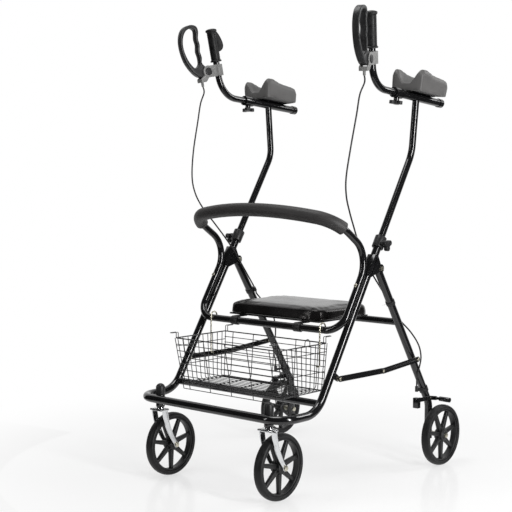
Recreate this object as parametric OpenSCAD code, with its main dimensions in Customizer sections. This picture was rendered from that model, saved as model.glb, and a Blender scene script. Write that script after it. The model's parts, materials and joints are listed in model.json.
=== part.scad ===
// Upright walker with forearm supports: a folding four-wheeled frame with a seat, a wire basket,
// sliding arm posts, padded forearm troughs, upright grips and loop brakes on the rear wheels.
// Front is -Y, up is +Z, sizes in millimetres, origin on the floor in the middle of the footprint.

/* [Wheels] */
// Diameter of every wheel over its tyre
wheel_d = 200; // [190:1:210]
// Width of a tyre
tyre_w = 30; // [24:1:32]
// Height of a tyre above its rim
tyre_h = 15; // [10:1:20]
// Distance between the front and the rear axles
wheelbase = 688; // [660:1:720]
// Distance between the front wheels, middle to middle
front_track = 448; // [430:1:460]
// Gap between a rear leg and the middle of its wheel
rear_wheel_out = 49; // [47:1:60]
// Distance that a front wheel trails behind its stem
caster_trail = 46; // [40:1:52]
// Spokes in a wheel
spoke_count = 7; // [5:1:9]

/* [Base frame] */
// Distance between the side tubes, middle to middle
frame_w = 592; // [580:1:604]
// Diameter of the base tube and the rear legs
frame_tube_d = 25.4; // [25.2:0.1:26]
// Diameter of the bars, the backrest loop, the posts and the handles
slim_tube_d = 22.2; // [21.8:0.1:22.4]
// Lean of the side tubes from upright, in degrees
lean_angle = 32; // [30:0.5:34]
// Height of the top end of a side tube
side_top_z = 756; // [740:1:770]
// Height of the front bar
front_bar_z = 253; // [248:1:258]
// Distance of the front bar ahead of the front axle
front_bar_ahead = 71; // [68:1:74]
// Height of the lower cross bar
cross_bar_z = 280; // [276:1:284]

/* [Backrest] */
// Height of the bar that the seat hinges on
seat_bar_z = 484; // [480:1:488]
// Lean of the backrest towards the front, in degrees
backrest_lean = 57; // [52:0.5:60]
// Reach of the backrest from its bend to its middle
backrest_reach = 250; // [240:1:270]
// Radius of the curve across the back
backrest_curve_r = 800; // [700:10:1000]
// Diameter of the foam sleeve
foam_d = 42; // [36:1:46]

/* [Rear frame] */
// Height of the fold hinge
hinge_z = 665; // [660:1:668]
// Depth of the fold hinge behind the middle
hinge_y = 40; // [38:1:44]
// Height where a rear leg turns upright
leg_bend_z = 201; // [196:1:206]
// Height of the bar under the rear of the seat
rest_bar_z = 487; // [485:1:489]

/* [Seat] */
// Width of the seat cushion
seat_w = 400; // [380:1:430]
// Thickness of the seat cushion in its middle
seat_h = 41; // [36:1:41]

/* [Basket] */
// Width of the basket at its rim
basket_w = 424; // [400:1:440]
// Height of the basket rim
basket_rim_z = 438; // [430:1:446]
// Uprights on each side of the basket
basket_side_posts = 10; // [8:1:12]
// Wire spaces up the basket
basket_rows = 8; // [6:1:9]

/* [Arm supports] */
// Height of an arm tube where its post meets it
arm_z = 1201; // [1180:1:1220]
// Height of the bend in a post
post_bend_z = 1024; // [1010:1:1034]
// Outward lean of an arm, in degrees
arm_splay = 4.5; // [3:0.5:6]
// Rise of an arm tube towards the front, in degrees
arm_rise = 4.4; // [3:0.1:6]
// Width of a forearm pad
pad_w = 120; // [110:1:128]
// Length of a forearm pad
pad_l = 164; // [150:1:174]
// Height of a forearm pad at its front corners
pad_h = 67; // [60:1:72]

/* [Handles and brakes] */
// Distance of the upright handle ahead of the post
handle_reach = 240; // [232:1:250]
// Length of the upright handle above the arm tube
handle_h = 221; // [216:1:230]
// Forward lean of the handle from square, in degrees
handle_lean = 14; // [11:0.5:17]
// Diameter of a hand grip
grip_d = 31; // [29:1:34]
// Outward turn of a brake lever, in degrees
lever_toe = 15; // [10:1:20]
// Reach of a lever loop beyond its pivot
lever_reach = 86; // [80:1:92]
// Height of a lever loop above its pivot
lever_h = 159; // [152:1:166]
// Diameter of a brake cable
cable_d = 5; // [4.4:0.1:5.4]

/* [Hidden] */
tube_fn = 64;
curve_fn = 360;
round_n = 12;
$fn = tube_fn;
// fits, gaps and cutting overrun
over = 5;
run_gap = 0.05;
slide_gap = 0.1;
face_gap = 0.3;
weld_gap = 0.05;
bend_gap = 0.02;

// tubes
sx = frame_w / 2;
frame_r = frame_tube_d / 2;
slim_r = slim_tube_d / 2;
frame_bore = slim_tube_d + 2 * slide_gap;
slim_wall = 1.5;
slim_bore = slim_tube_d - 2 * slim_wall;
lean_cross_z = 667;
base_bend_r = 90;
base_corner_r = 62;
front_y = -(wheelbase / 2 + front_bar_ahead);
axle_y = wheelbase / 2;
axle_z = wheel_d / 2;

// directions along and square to the side tubes
lean_up = [0, sin(lean_angle), cos(lean_angle)];
lean_back = [0, cos(lean_angle), -sin(lean_angle)];

// backrest loop
loop_gap = 1;
loop_ahead = frame_r + slim_r + loop_gap;
loop_bend_z = 709;
loop_bend_r = 85;
loop_corner_r = 60;
back_corner_r = 92;
foam_gap = 0.1;
foam_turn_share = 0.77;
loop_screw_z = 600;
screw_r = 2.5;
screw_head_r = 5.5;
screw_head_h = 2.5;

// rear legs
leg_top = 10;
leg_bend_r = 60;
leg_foot = 18;
leg_slope = (axle_y - hinge_y) / (hinge_z - leg_bend_z);
hinge_bolt_r = 4;
bolt_head_r = 7;
bolt_head_h = 3;
ear_t = 3;
ear_r = 14;
ear_rise = 40;
ear_drop = 24;
web_t = 2.6;

// folding stays, set out in layers outside the legs
stay_front_z = 360;
stay_tab_out = 22;
stay_rear_z = 360;
stay_mid_y = 44;
stay_mid_z = 346;
stay_w = 18;
stay_t = 3;
stay_layer = 18.9;
stay_layer_gap = 0.4;
rivet_r = 3;
rivet_head_r = 6.5;
rivet_head_h = 1.6;
tab_in = 9;
tab_t = 3;
tab_r = 9;

// casters
stem_y = -(wheelbase / 2 + caster_trail);
stem_x = front_track / 2;
stem_r = 8;
stem_top = 258;
sleeve_r = 14;
sleeve_low = 226;
sleeve_top = 262;
cap_r = 14.5;
cap_h = 37;
cap_dome_r = 15;
crown_z = 214;
crown_t = 6;
crown_l = 34;
seat_ring_r = 12;
blade_t = 4;
blade_in = 22;
blade_crown_w = 23;
blade_foot_w = 13;
blade_eye_r = 9.5;
blade_arc_r = 232;
blade_lead = -4;
axle_r = 4;
axle_head_r = 8;
axle_head_h = 4;

// wheels
rim_w = 22;
rim_t = 6;
hub_r = 19;
hub_w = 38;
spoke_t = 14;
spoke_root_w = 16;
spoke_tip_w = 11;
tyre_crown = 5;
tyre_seat = 0.05;
rear_x = sx + rear_wheel_out;

// rear brakes
brake_pivot_z = 220;
brake_arm_layer = 13.4;
brake_arm_t = 3.4;
brake_bar_y = 22;
brake_bar_z = 114;
brake_bar_r = 5;
brake_shoe_r = 8;
brake_shoe_l = 40;
brake_front_y = 262;
brake_front_z = 222;
brake_block_h = 34;
brake_block_w = 16;
brake_block_d = 20;
brake_arm_w = 14;
stop_z = 250;
stop_ring_h = 16;
stop_ring_t = 2.8;
ferrule_r = 4.5;
ferrule_h = 18;
stop_arm_t = 8;
stop_lip = 1;
stop_x = 6;
inner_wire_r = 0.8;
clip_z = 552;
clip_h = 14;
clip_t = 2.2;
clip_eye_r = 5;
clip_eye_x = -17.6;
clip_eye_y = 8;
clip_slack = 0.4;

// seat
seat_front_y = -125;
seat_rear_y = 160;
board_t = 5;
board_inset = 14;
clip_ring_t = 3;
clip_ring_w = 26;
clip_x = 130;
clip_tab_l = 42;
clip_tab_t = 3;
seat_rest_gap = 0.3;

// basket
wire_d = 2.6;
rim_wire_d = 4;
basket_front_y = -335;
basket_rear_y = -105;
basket_foot_y = -301;
basket_heel_y = -118;
basket_lip_z = 273;
basket_taper = 6;
// places of the uprights across the basket and of the level wires down its sides
basket_post_share = [-0.5, -0.42, -0.21, 0, 0.21, 0.42, 0.5];
basket_level_share = [0, 0.18, 0.60, 1];
// hooked loops at the corners and the small arch on the right rim
corner_rise = 17;
corner_reach = 28;
corner_wide = 9;
corner_bend_r = 3;
arch_h = 19;
arch_w = 24;
arch_bend_r = 11;
arch_share = 0.59;
// rods that hang the basket from the seat bar
hanger_d = 4.8;
hanger_lift = 7;
hanger_x = 226;
hanger_foot_z = 372;
hanger_bend_r = 5;
hanger_tail_angle = 8;

// posts and arm tubes
post_low_z = 592;
post_bend_r = 100;
arm_front = 128;
arm_rear = 138;
arm_plug_l = 9;
arm_plug_r = 14.6;
arm_collar_l = 40;
arm_collar_r = 16.5;
arm_insert = 20;
plate_w = 42;
plate_t = 3;
plate_l = 124;
plate_sink = 0.6;
pad_seat = 0.2;
pad_front = 68;
post_top_cut = 24;

// clamp collars and knobs
collar_r = 18.5;
collar_h = 38;
collar_lip = 6;
boss_r = 9;
boss_out = 25;
knob_r = 10;
knob_lobe_r = 8.5;
knob_lobe_out = 11;
knob_t = 13;
knob_lobes = 3;
knob_screw_r = 4;
knob_drop = 20;
reach_boss_out = 24;
reach_knob_t = 11;
reach_lobe_out = 14;

// handles
handle_bend_r = 85;
grip_flange_r = 19;
grip_flange_t = 5;
grip_dome = 6;
grip_fin_w = 9;
grip_fin_out = 26;
housing_at = 88;
housing_h = 38;
grip_gap = 9;
housing_r = 18;
cheek_in = 11;
cheek_t = 3;
cheek_r = 20;
pivot_out = 44;
pin_r = 3;
pin_cap_r = 12;
pin_cap_h = 1.4;
lever_clear = 2;
lever_hub_r = 12;
barrel_r = 4.5;
barrel_l = 14;
barrel_out = 68;
bridge_w = 20;
bridge_top = 21;
bridge_low = 33;
lead_l = 20;

// lever outline, shares of lever_reach forward and of lever_h up, from the pivot
lever_outer_share = [[0.02, -0.115], [0.38, -0.10], [0.66, 0.02], [0.92, 0.26], [1.02, 0.55],
    [0.97, 0.78], [0.78, 0.94], [0.46, 1.00], [0.20, 0.96], [0.14, 0.85], [0.20, 0.70], [0.17, 0.57],
    [0.21, 0.44], [0.17, 0.31], [0.20, 0.19], [0.04, 0.09], [-0.13, 0.02], [-0.12, -0.08]];
lever_inner_share = [[0.52, 0.10], [0.72, 0.21], [0.86, 0.38], [0.92, 0.57], [0.86, 0.75],
    [0.70, 0.88], [0.46, 0.93], [0.30, 0.89], [0.28, 0.82], [0.31, 0.70], [0.28, 0.57], [0.32, 0.44],
    [0.28, 0.31], [0.31, 0.17]];

// right cable route from the lever barrel to the rear brake, chosen by eye along the frame
cable_route = [[327, -104, 1190], [326, -118, 1130], [323, -142, 1030], [317, -154, 945],
    [311, -144, 890], [303, -116, 842], [291, -78, 796], [280, -40, 750], [273, -2, 704], [272, 38, 655]];
cable_tail = [[280, 190, 490], [292, 238, 446], [306, 264, 404], [315, 270, 366], [316, 262, 334],
    [308, 258, 312]];
cable_sides = 8;
cable_steps = 3;

// pieces of the model that can be drawn one by one

// Vector and outline helpers
function unit(v) = v / norm(v);
function side_y(z) = (z - lean_cross_z) * tan(lean_angle);
function side_point(z) = [sx, side_y(z), z];
function loop_point(z) = [sx, side_y(z) - loop_ahead / cos(lean_angle), z];
function leg_y(z) = hinge_y + (hinge_z - z) * leg_slope;
function leg_point(z) = [sx, leg_y(z), z];
function yz(p) = [p[1], p[2]];
function flip(p) = [-p[0], p[1], p[2]];
function mix(a, b, t) = a + (b - a) * t;
function clamp01(t) = min(1, max(0, t));
function ease(t) = let(c = clamp01(t)) c * c * (3 - 2 * c);

// Point on a smooth curve between b and c, with a and d beside them
function curve(a, b, c, d, t) =
    0.5 * ((2 * b) + (c - a) * t + (2 * a - 5 * b + 4 * c - d) * t * t
    + (3 * b - a - 3 * c + d) * t * t * t);
function smooth_loop(p, n) = let(k = len(p))
    [for (i = [0 : k - 1]) for (j = [0 : n - 1])
    curve(p[(i + k - 1) % k], p[i], p[(i + 1) % k], p[(i + 2) % k], j / n)];
function smooth_path(p, n) = let(k = len(p))
    concat([for (i = [0 : k - 2]) for (j = [0 : n - 1])
    curve(p[max(0, i - 1)], p[i], p[i + 1], p[min(k - 1, i + 2)], j / n)], [p[k - 1]]);
function bar_outline(l, w, n) =
    concat([for (i = [0 : n]) [l + w / 2 * sin(180 * i / n), -w / 2 * cos(180 * i / n)]],
    [for (i = [0 : n]) [-w / 2 * sin(180 * i / n), w / 2 * cos(180 * i / n)]]);

// Place a shape with its own axes at a point
module axes_at(o, ex, ey) {
    ez = cross(ex, ey);
    multmatrix([[ex[0], ey[0], ez[0], o[0]], [ex[1], ey[1], ez[1], o[1]],
        [ex[2], ey[2], ez[2], o[2]], [0, 0, 0, 1]]) children();
}
module along(a, b) {
    ez = unit(b - a);
    ex = abs(ez[0]) > 0.9 ? [0, 0, 1] : [1, 0, 0];
    ey = unit(cross(ez, ex));
    axes_at(a, cross(ey, ez), ey) children();
}
module on_side(s) {
    if (s > 0) children();
    else mirror([1, 0, 0]) children();
}
module both() {
    on_side(1) children();
    on_side(-1) children();
}
// Plate in the YZ plane from x to x + t
module plate_yz(x, t) {
    translate([x, 0, 0]) rotate([90, 0, 90]) linear_extrude(t) children();
}
module pin_x(x, p, r, l) {
    translate([x, p[0], p[1]]) rotate([0, 90, 0]) cylinder(r = r, h = l);
}

// Tubes
module ring_outline(d, bore) {
    difference() {
        circle(d = d);
        if (bore > 0) circle(d = bore);
    }
}
module tube(a, b, d, bore) {
    along(a, b) linear_extrude(norm(b - a)) ring_outline(d, bore);
}
module elbow(p, u, v, r, d, bore) {
    turn = acos(u * v);
    n = unit(v - u * (u * v));
    start = p - u * (r * tan(turn / 2));
    axes_at(start + n * r, -n, u)
        rotate_extrude(angle = turn) translate([r, 0]) ring_outline(d, bore);
}
// Angle of an arc as long as the gap left at each bend
function gap_angle(r) = bend_gap / r * 180 / PI;
module bent_tube(p, radii, d, bore) {
    n = len(p);
    dirs = [for (i = [0 : n - 2]) unit(p[i + 1] - p[i])];
    back = [for (i = [0 : n - 1]) (i == 0 || i == n - 1) ? 0
        : radii[i - 1] * tan(acos(dirs[i - 1] * dirs[i]) / 2) + bend_gap];
    for (i = [0 : n - 2])
        tube(p[i] + dirs[i] * back[i], p[i + 1] - dirs[i] * back[i + 1], d, bore);
    for (i = [1 : n - 2])
        elbow(p[i], dirs[i - 1], dirs[i], radii[i - 1], d, bore);
}

// Base frame
base_right = [side_point(side_top_z), side_point(front_bar_z), [sx, front_y, front_bar_z]];
base_left = [for (i = [2 : -1 : 0]) flip(base_right[i])];
module base_path(d, bore) {
    bent_tube(concat(base_right, base_left),
        [base_bend_r, base_corner_r, base_corner_r, base_bend_r], d, bore);
}
knob_at = side_top_z - knob_drop * cos(lean_angle);
module base_tube() {
    color("black") difference() {
        base_path(frame_tube_d, frame_bore);
        both() pin_x(sx, yz(side_point(knob_at)), knob_screw_r + slide_gap, collar_r);
    }
}
module cross_bar() {
    a = [sx, side_y(cross_bar_z), cross_bar_z];
    color("black") difference() {
        tube(flip(a), a, slim_tube_d, slim_bore);
        both() bent_tube(base_right, [base_bend_r], frame_tube_d + 2 * weld_gap, 0);
    }
}

// Backrest loop, with its curved top in a plane of its own
back_dir = [0, -sin(backrest_lean), cos(backrest_lean)];
back_root = loop_point(loop_bend_z);
arc_s = backrest_reach - backrest_curve_r;
corner_x = sx - back_corner_r;
corner_s = arc_s + sqrt(pow(backrest_curve_r - back_corner_r, 2) - corner_x * corner_x);
arc_half = atan2(corner_x, corner_s - arc_s);
module in_back_plane() {
    axes_at([0, back_root[1], back_root[2]], [1, 0, 0], back_dir) children();
}
module back_arc(d, bore, turn_share = 1) {
    in_back_plane() {
        gap = gap_angle(backrest_curve_r);
        translate([0, arc_s, 0]) rotate([0, 0, 90 - arc_half + gap])
            rotate_extrude(angle = 2 * (arc_half - gap), $fn = curve_fn)
            translate([backrest_curve_r, 0]) ring_outline(d, bore, $fn = tube_fn);
        both() translate([corner_x, corner_s, 0]) rotate([0, 0, (1 - turn_share) * (90 - arc_half)])
            rotate_extrude(angle = turn_share * (90 - arc_half))
            translate([back_corner_r, 0]) ring_outline(d, bore);
    }
}
module backrest_loop() {
    a = back_root + back_dir * (corner_s - bend_gap);
    b = loop_point(seat_bar_z);
    color("black") difference() {
        union() {
            bent_tube([a, back_root, b, flip(b), flip(back_root), flip(a)],
                [loop_bend_r, loop_corner_r, loop_corner_r, loop_bend_r], slim_tube_d, slim_bore);
            back_arc(slim_tube_d, slim_bore);
        }
        both() along(side_point(loop_screw_z) - lean_back * frame_r,
            side_point(loop_screw_z) - lean_back * loop_ahead)
            cylinder(r = screw_r + run_gap, h = 2 * slim_tube_d);
    }
}
module backrest_foam() {
    color("dimgray") back_arc(foam_d, slim_tube_d + 2 * foam_gap, foam_turn_share);
}

// Hinge brackets, stay tabs and their fasteners
hinge_p = [hinge_y, hinge_z];
ear_in = frame_r + face_gap;
front_pivot = yz(side_point(stay_front_z)) + yz(lean_back) * stay_tab_out;
rear_pivot = yz(leg_point(stay_rear_z));
mid_pivot = [stay_mid_y, stay_mid_z];
module ear_outline() {
    difference() {
        union() {
            polygon([yz(side_point(hinge_z + ear_rise)), hinge_p + [0, ear_r / 2],
                hinge_p - [0, ear_r / 2], yz(side_point(hinge_z - ear_drop))]);
            translate(hinge_p) circle(r = ear_r);
        }
        translate(hinge_p) circle(r = hinge_bolt_r + run_gap);
    }
}
module tab_outline() {
    difference() {
        union() {
            polygon([yz(side_point(stay_front_z + tab_r)), front_pivot + yz(lean_up) * tab_r,
                front_pivot - yz(lean_up) * tab_r, yz(side_point(stay_front_z - tab_r))]);
            translate(front_pivot) circle(r = tab_r);
        }
        translate(front_pivot) circle(r = rivet_r + run_gap);
    }
}
module side_cutter() {
    tube(side_point(front_bar_z), side_point(side_top_z), frame_tube_d + 2 * weld_gap, 0);
}
module frame_brackets() {
    web_a = side_point(hinge_z - ear_drop) + lean_up * ear_t;
    web_b = side_point(hinge_z + ear_rise) - lean_up * ear_t;
    color("black") both() {
        difference() {
            union() {
                plate_yz(sx + ear_in, ear_t) ear_outline();
                plate_yz(sx - ear_in - ear_t, ear_t) ear_outline();
                along(web_a, web_b) translate([-ear_in - ear_t / 2, -frame_r - web_t, 0])
                    cube([2 * ear_in + ear_t, frame_r, norm(web_b - web_a)]);
            }
            side_cutter();
        }
        difference() {
            plate_yz(sx + tab_in, tab_t) tab_outline();
            side_cutter();
        }
    }
}
module frame_fasteners() {
    bolt_x = ear_in + ear_t;
    color("silver") both() {
        pin_x(sx - bolt_x - bolt_head_h, hinge_p, hinge_bolt_r, 2 * (bolt_x + bolt_head_h));
        pin_x(sx + bolt_x + run_gap, hinge_p, bolt_head_r, bolt_head_h);
        pin_x(sx - bolt_x - run_gap - bolt_head_h, hinge_p, bolt_head_r, bolt_head_h);
        pin_x(sx + tab_in - run_gap - rivet_head_h, front_pivot, rivet_head_r, rivet_head_h);
        pin_x(sx + tab_in - rivet_head_h, front_pivot, rivet_r,
            stay_layer + stay_t + rivet_head_h - tab_in + stay_layer_gap / 2);
        pin_x(sx + tab_in + tab_t + run_gap, front_pivot, rivet_head_r,
            stay_layer - tab_in - tab_t - stay_layer_gap);
        along(side_point(loop_screw_z) - lean_back * (frame_r + weld_gap),
            side_point(loop_screw_z) - lean_back * slim_tube_d * 2) {
            cylinder(r = screw_r, h = loop_gap + slim_tube_d + screw_head_h);
            translate([0, 0, loop_gap + slim_tube_d]) cylinder(r = screw_head_r, h = screw_head_h);
        }
    }
}

// Caster sleeves and caps on the front bar
module caster_sleeves() {
    color("black") both() difference() {
        translate([stem_x, stem_y, sleeve_low]) linear_extrude(sleeve_top - sleeve_low)
            ring_outline(2 * sleeve_r, 2 * (stem_r + slide_gap));
        bent_tube([side_point(front_bar_z), [sx, front_y, front_bar_z], [0, front_y, front_bar_z]],
            [base_corner_r], frame_tube_d + 2 * weld_gap, 0);
    }
}
module caster_caps() {
    dome_z = cap_h - cap_dome_r;
    color("black") both() translate([stem_x, stem_y, sleeve_top + run_gap]) difference() {
        cylinder(r = cap_r, h = cap_h);
        difference() {
            translate([0, 0, dome_z]) cylinder(r = cap_r + over, h = cap_dome_r + over);
            translate([0, 0, dome_z]) sphere(r = cap_dome_r);
        }
    }
}

// Wire basket: each wire is a round bar, uprights lie on the outside of the level wires
basket_x = basket_w / 2;
basket_floor_z = cross_bar_z + slim_r + face_gap + wire_d / 2;
wire_step = wire_d + run_gap;
rim_step = (rim_wire_d - wire_d) / 2;
front_slope = atan((basket_foot_y - basket_front_y) / (basket_rim_z - basket_lip_z));
function basket_t(z) = (basket_rim_z - z) / (basket_rim_z - basket_lip_z);
function basket_fy(z) = mix(basket_front_y, basket_foot_y, basket_t(z));
function basket_ry(z) = mix(basket_rear_y, basket_heel_y, basket_t(z));
function basket_hx(z) = basket_x - basket_taper * basket_t(z);
function row_z(i, low) = mix(basket_rim_z, low, i / basket_rows);
module wire(a, b, d) {
    along(a, b) cylinder(d = d, h = norm(b - a));
}
wall_step = wire_step / cos(front_slope);
basket_low = basket_floor_z + wire_step;
// Hooked loop that stands on the rim at a corner and reaches towards s
module corner_loop(x, y, s) {
    z = basket_rim_z + rim_wire_d / 2 + face_gap;
    top = z + corner_rise;
    end = y + s * corner_reach;
    bent_tube([[x, y, z], [x, y, top], [x, end, top], [x - corner_wide, end, top],
        [x - corner_wide, y, top], [x - corner_wide, y, z]],
        [for (i = [1 : 4]) corner_bend_r], wire_d, 0);
}
module basket_front() {
    color("black") {
        for (i = [0 : basket_rows]) {
            z = row_z(i, basket_lip_z);
            y = basket_fy(z) + (i == 0 ? rim_step : 0);
            wire([-basket_hx(z), y, z], [basket_hx(z), y, z], i == 0 ? rim_wire_d : wire_d);
        }
        for (s = basket_post_share)
            wire([2 * s * basket_hx(basket_rim_z), basket_fy(basket_rim_z) - wall_step, basket_rim_z],
                [2 * s * basket_hx(basket_lip_z), basket_fy(basket_lip_z) - wall_step, basket_lip_z], wire_d);
        both() corner_loop(basket_x - wire_d, basket_front_y + rim_step, -1);
    }
}
module basket_back() {
    color("black") {
        for (i = [0 : basket_rows]) {
            z = row_z(i, basket_low);
            y = basket_ry(z) - (i == 0 ? rim_step : 0);
            wire([-basket_hx(z), y, z], [basket_hx(z), y, z], i == 0 ? rim_wire_d : wire_d);
        }
        for (s = basket_post_share)
            wire([2 * s * basket_hx(basket_rim_z), basket_ry(basket_rim_z) + wall_step, basket_rim_z],
                [2 * s * basket_hx(basket_low), basket_ry(basket_low) + wall_step, basket_low], wire_d);
        both() corner_loop(basket_x - wire_d, basket_rear_y - rim_step, 1);
    }
}
module basket_side() {
    color("black") {
        for (s = basket_level_share) {
            z = mix(basket_rim_z, basket_low, s);
            short = face_gap + (s == 0 ? rim_step + rim_wire_d / 2 : wire_d / 2);
            x = basket_hx(z) - (s == 0 ? rim_step : 0);
            wire([x, basket_fy(z) + short, z], [x, basket_ry(z) - short, z], s == 0 ? rim_wire_d : wire_d);
        }
        for (j = [0 : basket_side_posts - 1]) {
            t = (j + 0.5) / basket_side_posts;
            wire([basket_hx(basket_rim_z) + wall_step,
                mix(basket_fy(basket_rim_z), basket_ry(basket_rim_z), t), basket_rim_z],
                [basket_hx(basket_low) + wall_step,
                mix(basket_fy(basket_low), basket_ry(basket_low), t), basket_low], wire_d);
        }
    }
}
module basket_left() {
    on_side(-1) basket_side();
}
module basket_right() {
    x = basket_x - rim_step;
    y = mix(basket_front_y, basket_rear_y, arch_share);
    z = basket_rim_z + rim_wire_d / 2 + face_gap;
    basket_side();
    color("black") bent_tube([[x, y - arch_w / 2, z], [x, y - arch_w / 2, z + arch_h],
        [x, y + arch_w / 2, z + arch_h], [x, y + arch_w / 2, z]], [arch_bend_r, arch_bend_r], wire_d, 0);
}
module basket_floor() {
    z = basket_floor_z;
    short = face_gap + wire_d / 2;
    color("black") {
        for (s = basket_post_share) if (abs(s) < basket_post_share[6]) {
            x = 2 * s * basket_hx(z);
            wire([x, basket_fy(z) + short, z], [x, basket_ry(z) - short, z], wire_d);
        }
        for (j = [0 : basket_side_posts - 1]) {
            y = mix(basket_fy(z), basket_ry(z), (j + 0.5) / basket_side_posts);
            wire([-basket_hx(z) + short, y, z + wire_step], [basket_hx(z) - short, y, z + wire_step], wire_d);
        }
    }
}
// Round rods hooked over the seat bar, each with a foot turned in to the basket side
seat_bar = loop_point(seat_bar_z);
module basket_hangers() {
    hook_r = slim_r + face_gap + hanger_d / 2;
    y = seat_bar[1] - hook_r;
    foot_x = basket_hx(hanger_foot_z) + wall_step + wire_d / 2 + face_gap;
    color("silver") both() {
        translate([hanger_x, seat_bar[1], seat_bar_z + hanger_lift]) rotate([90, 0, 90])
            rotate([0, 0, -hanger_tail_angle]) rotate_extrude(angle = 180 + hanger_tail_angle)
            translate([hook_r, 0]) circle(d = hanger_d);
        bent_tube([[hanger_x, y, seat_bar_z + hanger_lift - bend_gap], [hanger_x, y, hanger_foot_z],
            [foot_x, y, hanger_foot_z]], [hanger_bend_r], hanger_d, 0);
    }
}

// Rear legs
leg_dir = unit([0, leg_slope, -1]);
leg_path = [leg_point(hinge_z) - leg_dir * leg_top, [sx, axle_y, leg_bend_z],
    [sx, axle_y, axle_z - leg_foot]];
brake_pivot = yz(leg_point(brake_pivot_z));
module leg_cutter() {
    tube(leg_point(hinge_z), [sx, axle_y, leg_bend_z], frame_tube_d + 2 * weld_gap, 0);
}
module rear_leg() {
    w = frame_tube_d + 2 * over;
    color("black") difference() {
        bent_tube(leg_path, [leg_bend_r], frame_tube_d, frame_bore);
        pin_x(sx - w / 2, hinge_p, hinge_bolt_r + run_gap, w);
        pin_x(sx, rear_pivot, rivet_r + run_gap, w);
        pin_x(sx, brake_pivot, rivet_r + run_gap, w);
        pin_x(sx - w / 2, [axle_y, axle_z], axle_r + run_gap, w);
    }
}
module rear_leg_left() {
    on_side(-1) rear_leg();
}
module rear_leg_right() {
    rear_leg();
}
module seat_rest_bar() {
    a = leg_point(rest_bar_z);
    color("black") difference() {
        tube(flip(a), a, slim_tube_d, slim_bore);
        both() leg_cutter();
    }
}
// Cable stops on the legs
stop_p = [sx + stop_x, brake_front_y, stop_z];
module leg_brackets() {
    color("black") both() difference() {
        union() {
            along(leg_point(stop_z + stop_ring_h / 2), leg_point(stop_z - stop_ring_h / 2))
                cylinder(r = frame_r + stop_ring_t, h = stop_ring_h);
            translate([stop_p[0] - stop_arm_t / 2, stop_p[1], stop_z])
                cube([stop_arm_t, leg_y(stop_z) - stop_p[1], stop_arm_t]);
            translate([stop_p[0], stop_p[1], stop_z - stop_lip])
                cylinder(r = ferrule_r + stop_lip, h = ferrule_h);
        }
        leg_cutter();
        translate([stop_p[0], stop_p[1], stop_z - over])
            cylinder(d = cable_d + 2 * run_gap, h = ferrule_h + 2 * over);
    }
}
module leg_fasteners() {
    head_x = hub_w / 2 + face_gap;
    color("silver") both() {
        pin_x(sx - frame_r - axle_head_h, [axle_y, axle_z], axle_r,
            rear_x + head_x + frame_r - sx + axle_head_h);
        pin_x(sx - frame_r - axle_head_h, [axle_y, axle_z], axle_head_r, axle_head_h - run_gap);
        pin_x(sx + frame_r + run_gap, [axle_y, axle_z], axle_head_r, rear_wheel_out - head_x - frame_r);
        pin_x(rear_x + head_x, [axle_y, axle_z], axle_head_r, axle_head_h);
        pin_x(sx + frame_r - slide_gap, rear_pivot, rivet_r,
            stay_layer + 2 * stay_t + stay_layer_gap - frame_r + rivet_head_h);
        pin_x(sx + frame_r + run_gap, rear_pivot, rivet_head_r, stay_layer + stay_t - frame_r);
        pin_x(sx + stay_layer + 2 * stay_t + 2 * stay_layer_gap, rear_pivot, rivet_head_r, rivet_head_h);
        pin_x(sx + frame_r - slide_gap, brake_pivot, rivet_r,
            brake_arm_layer + brake_arm_t - frame_r + slide_gap);
    }
}
clip_a = leg_point(clip_z + clip_h / 2);
clip_b = leg_point(clip_z - clip_h / 2);
clip_eye = [clip_eye_x, clip_eye_y * cos(atan(leg_slope)), clip_eye_y * sin(atan(leg_slope))];
module cable_clips() {
    color("black") both() difference() {
        union() {
            along(clip_a, clip_b) cylinder(r = frame_r + clip_t, h = clip_h);
            along(clip_a + clip_eye, clip_b + clip_eye) cylinder(r = clip_eye_r, h = clip_h);
        }
        leg_cutter();
        along(clip_a + clip_eye - leg_dir * over, clip_b + clip_eye)
            cylinder(d = cable_d + 2 * clip_slack, h = 2 * clip_h + 2 * over);
    }
}

// Seat
board_z = rest_bar_z + slim_r + seat_rest_gap;
seat_l = seat_rear_y - seat_front_y;
seat_mid = [0, (seat_rear_y + seat_front_y) / 2, board_z + board_t + run_gap];
seat_n = 28;
seat_corner_share = 0.28;
seat_waist_share = [0.012, 0.014];
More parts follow.
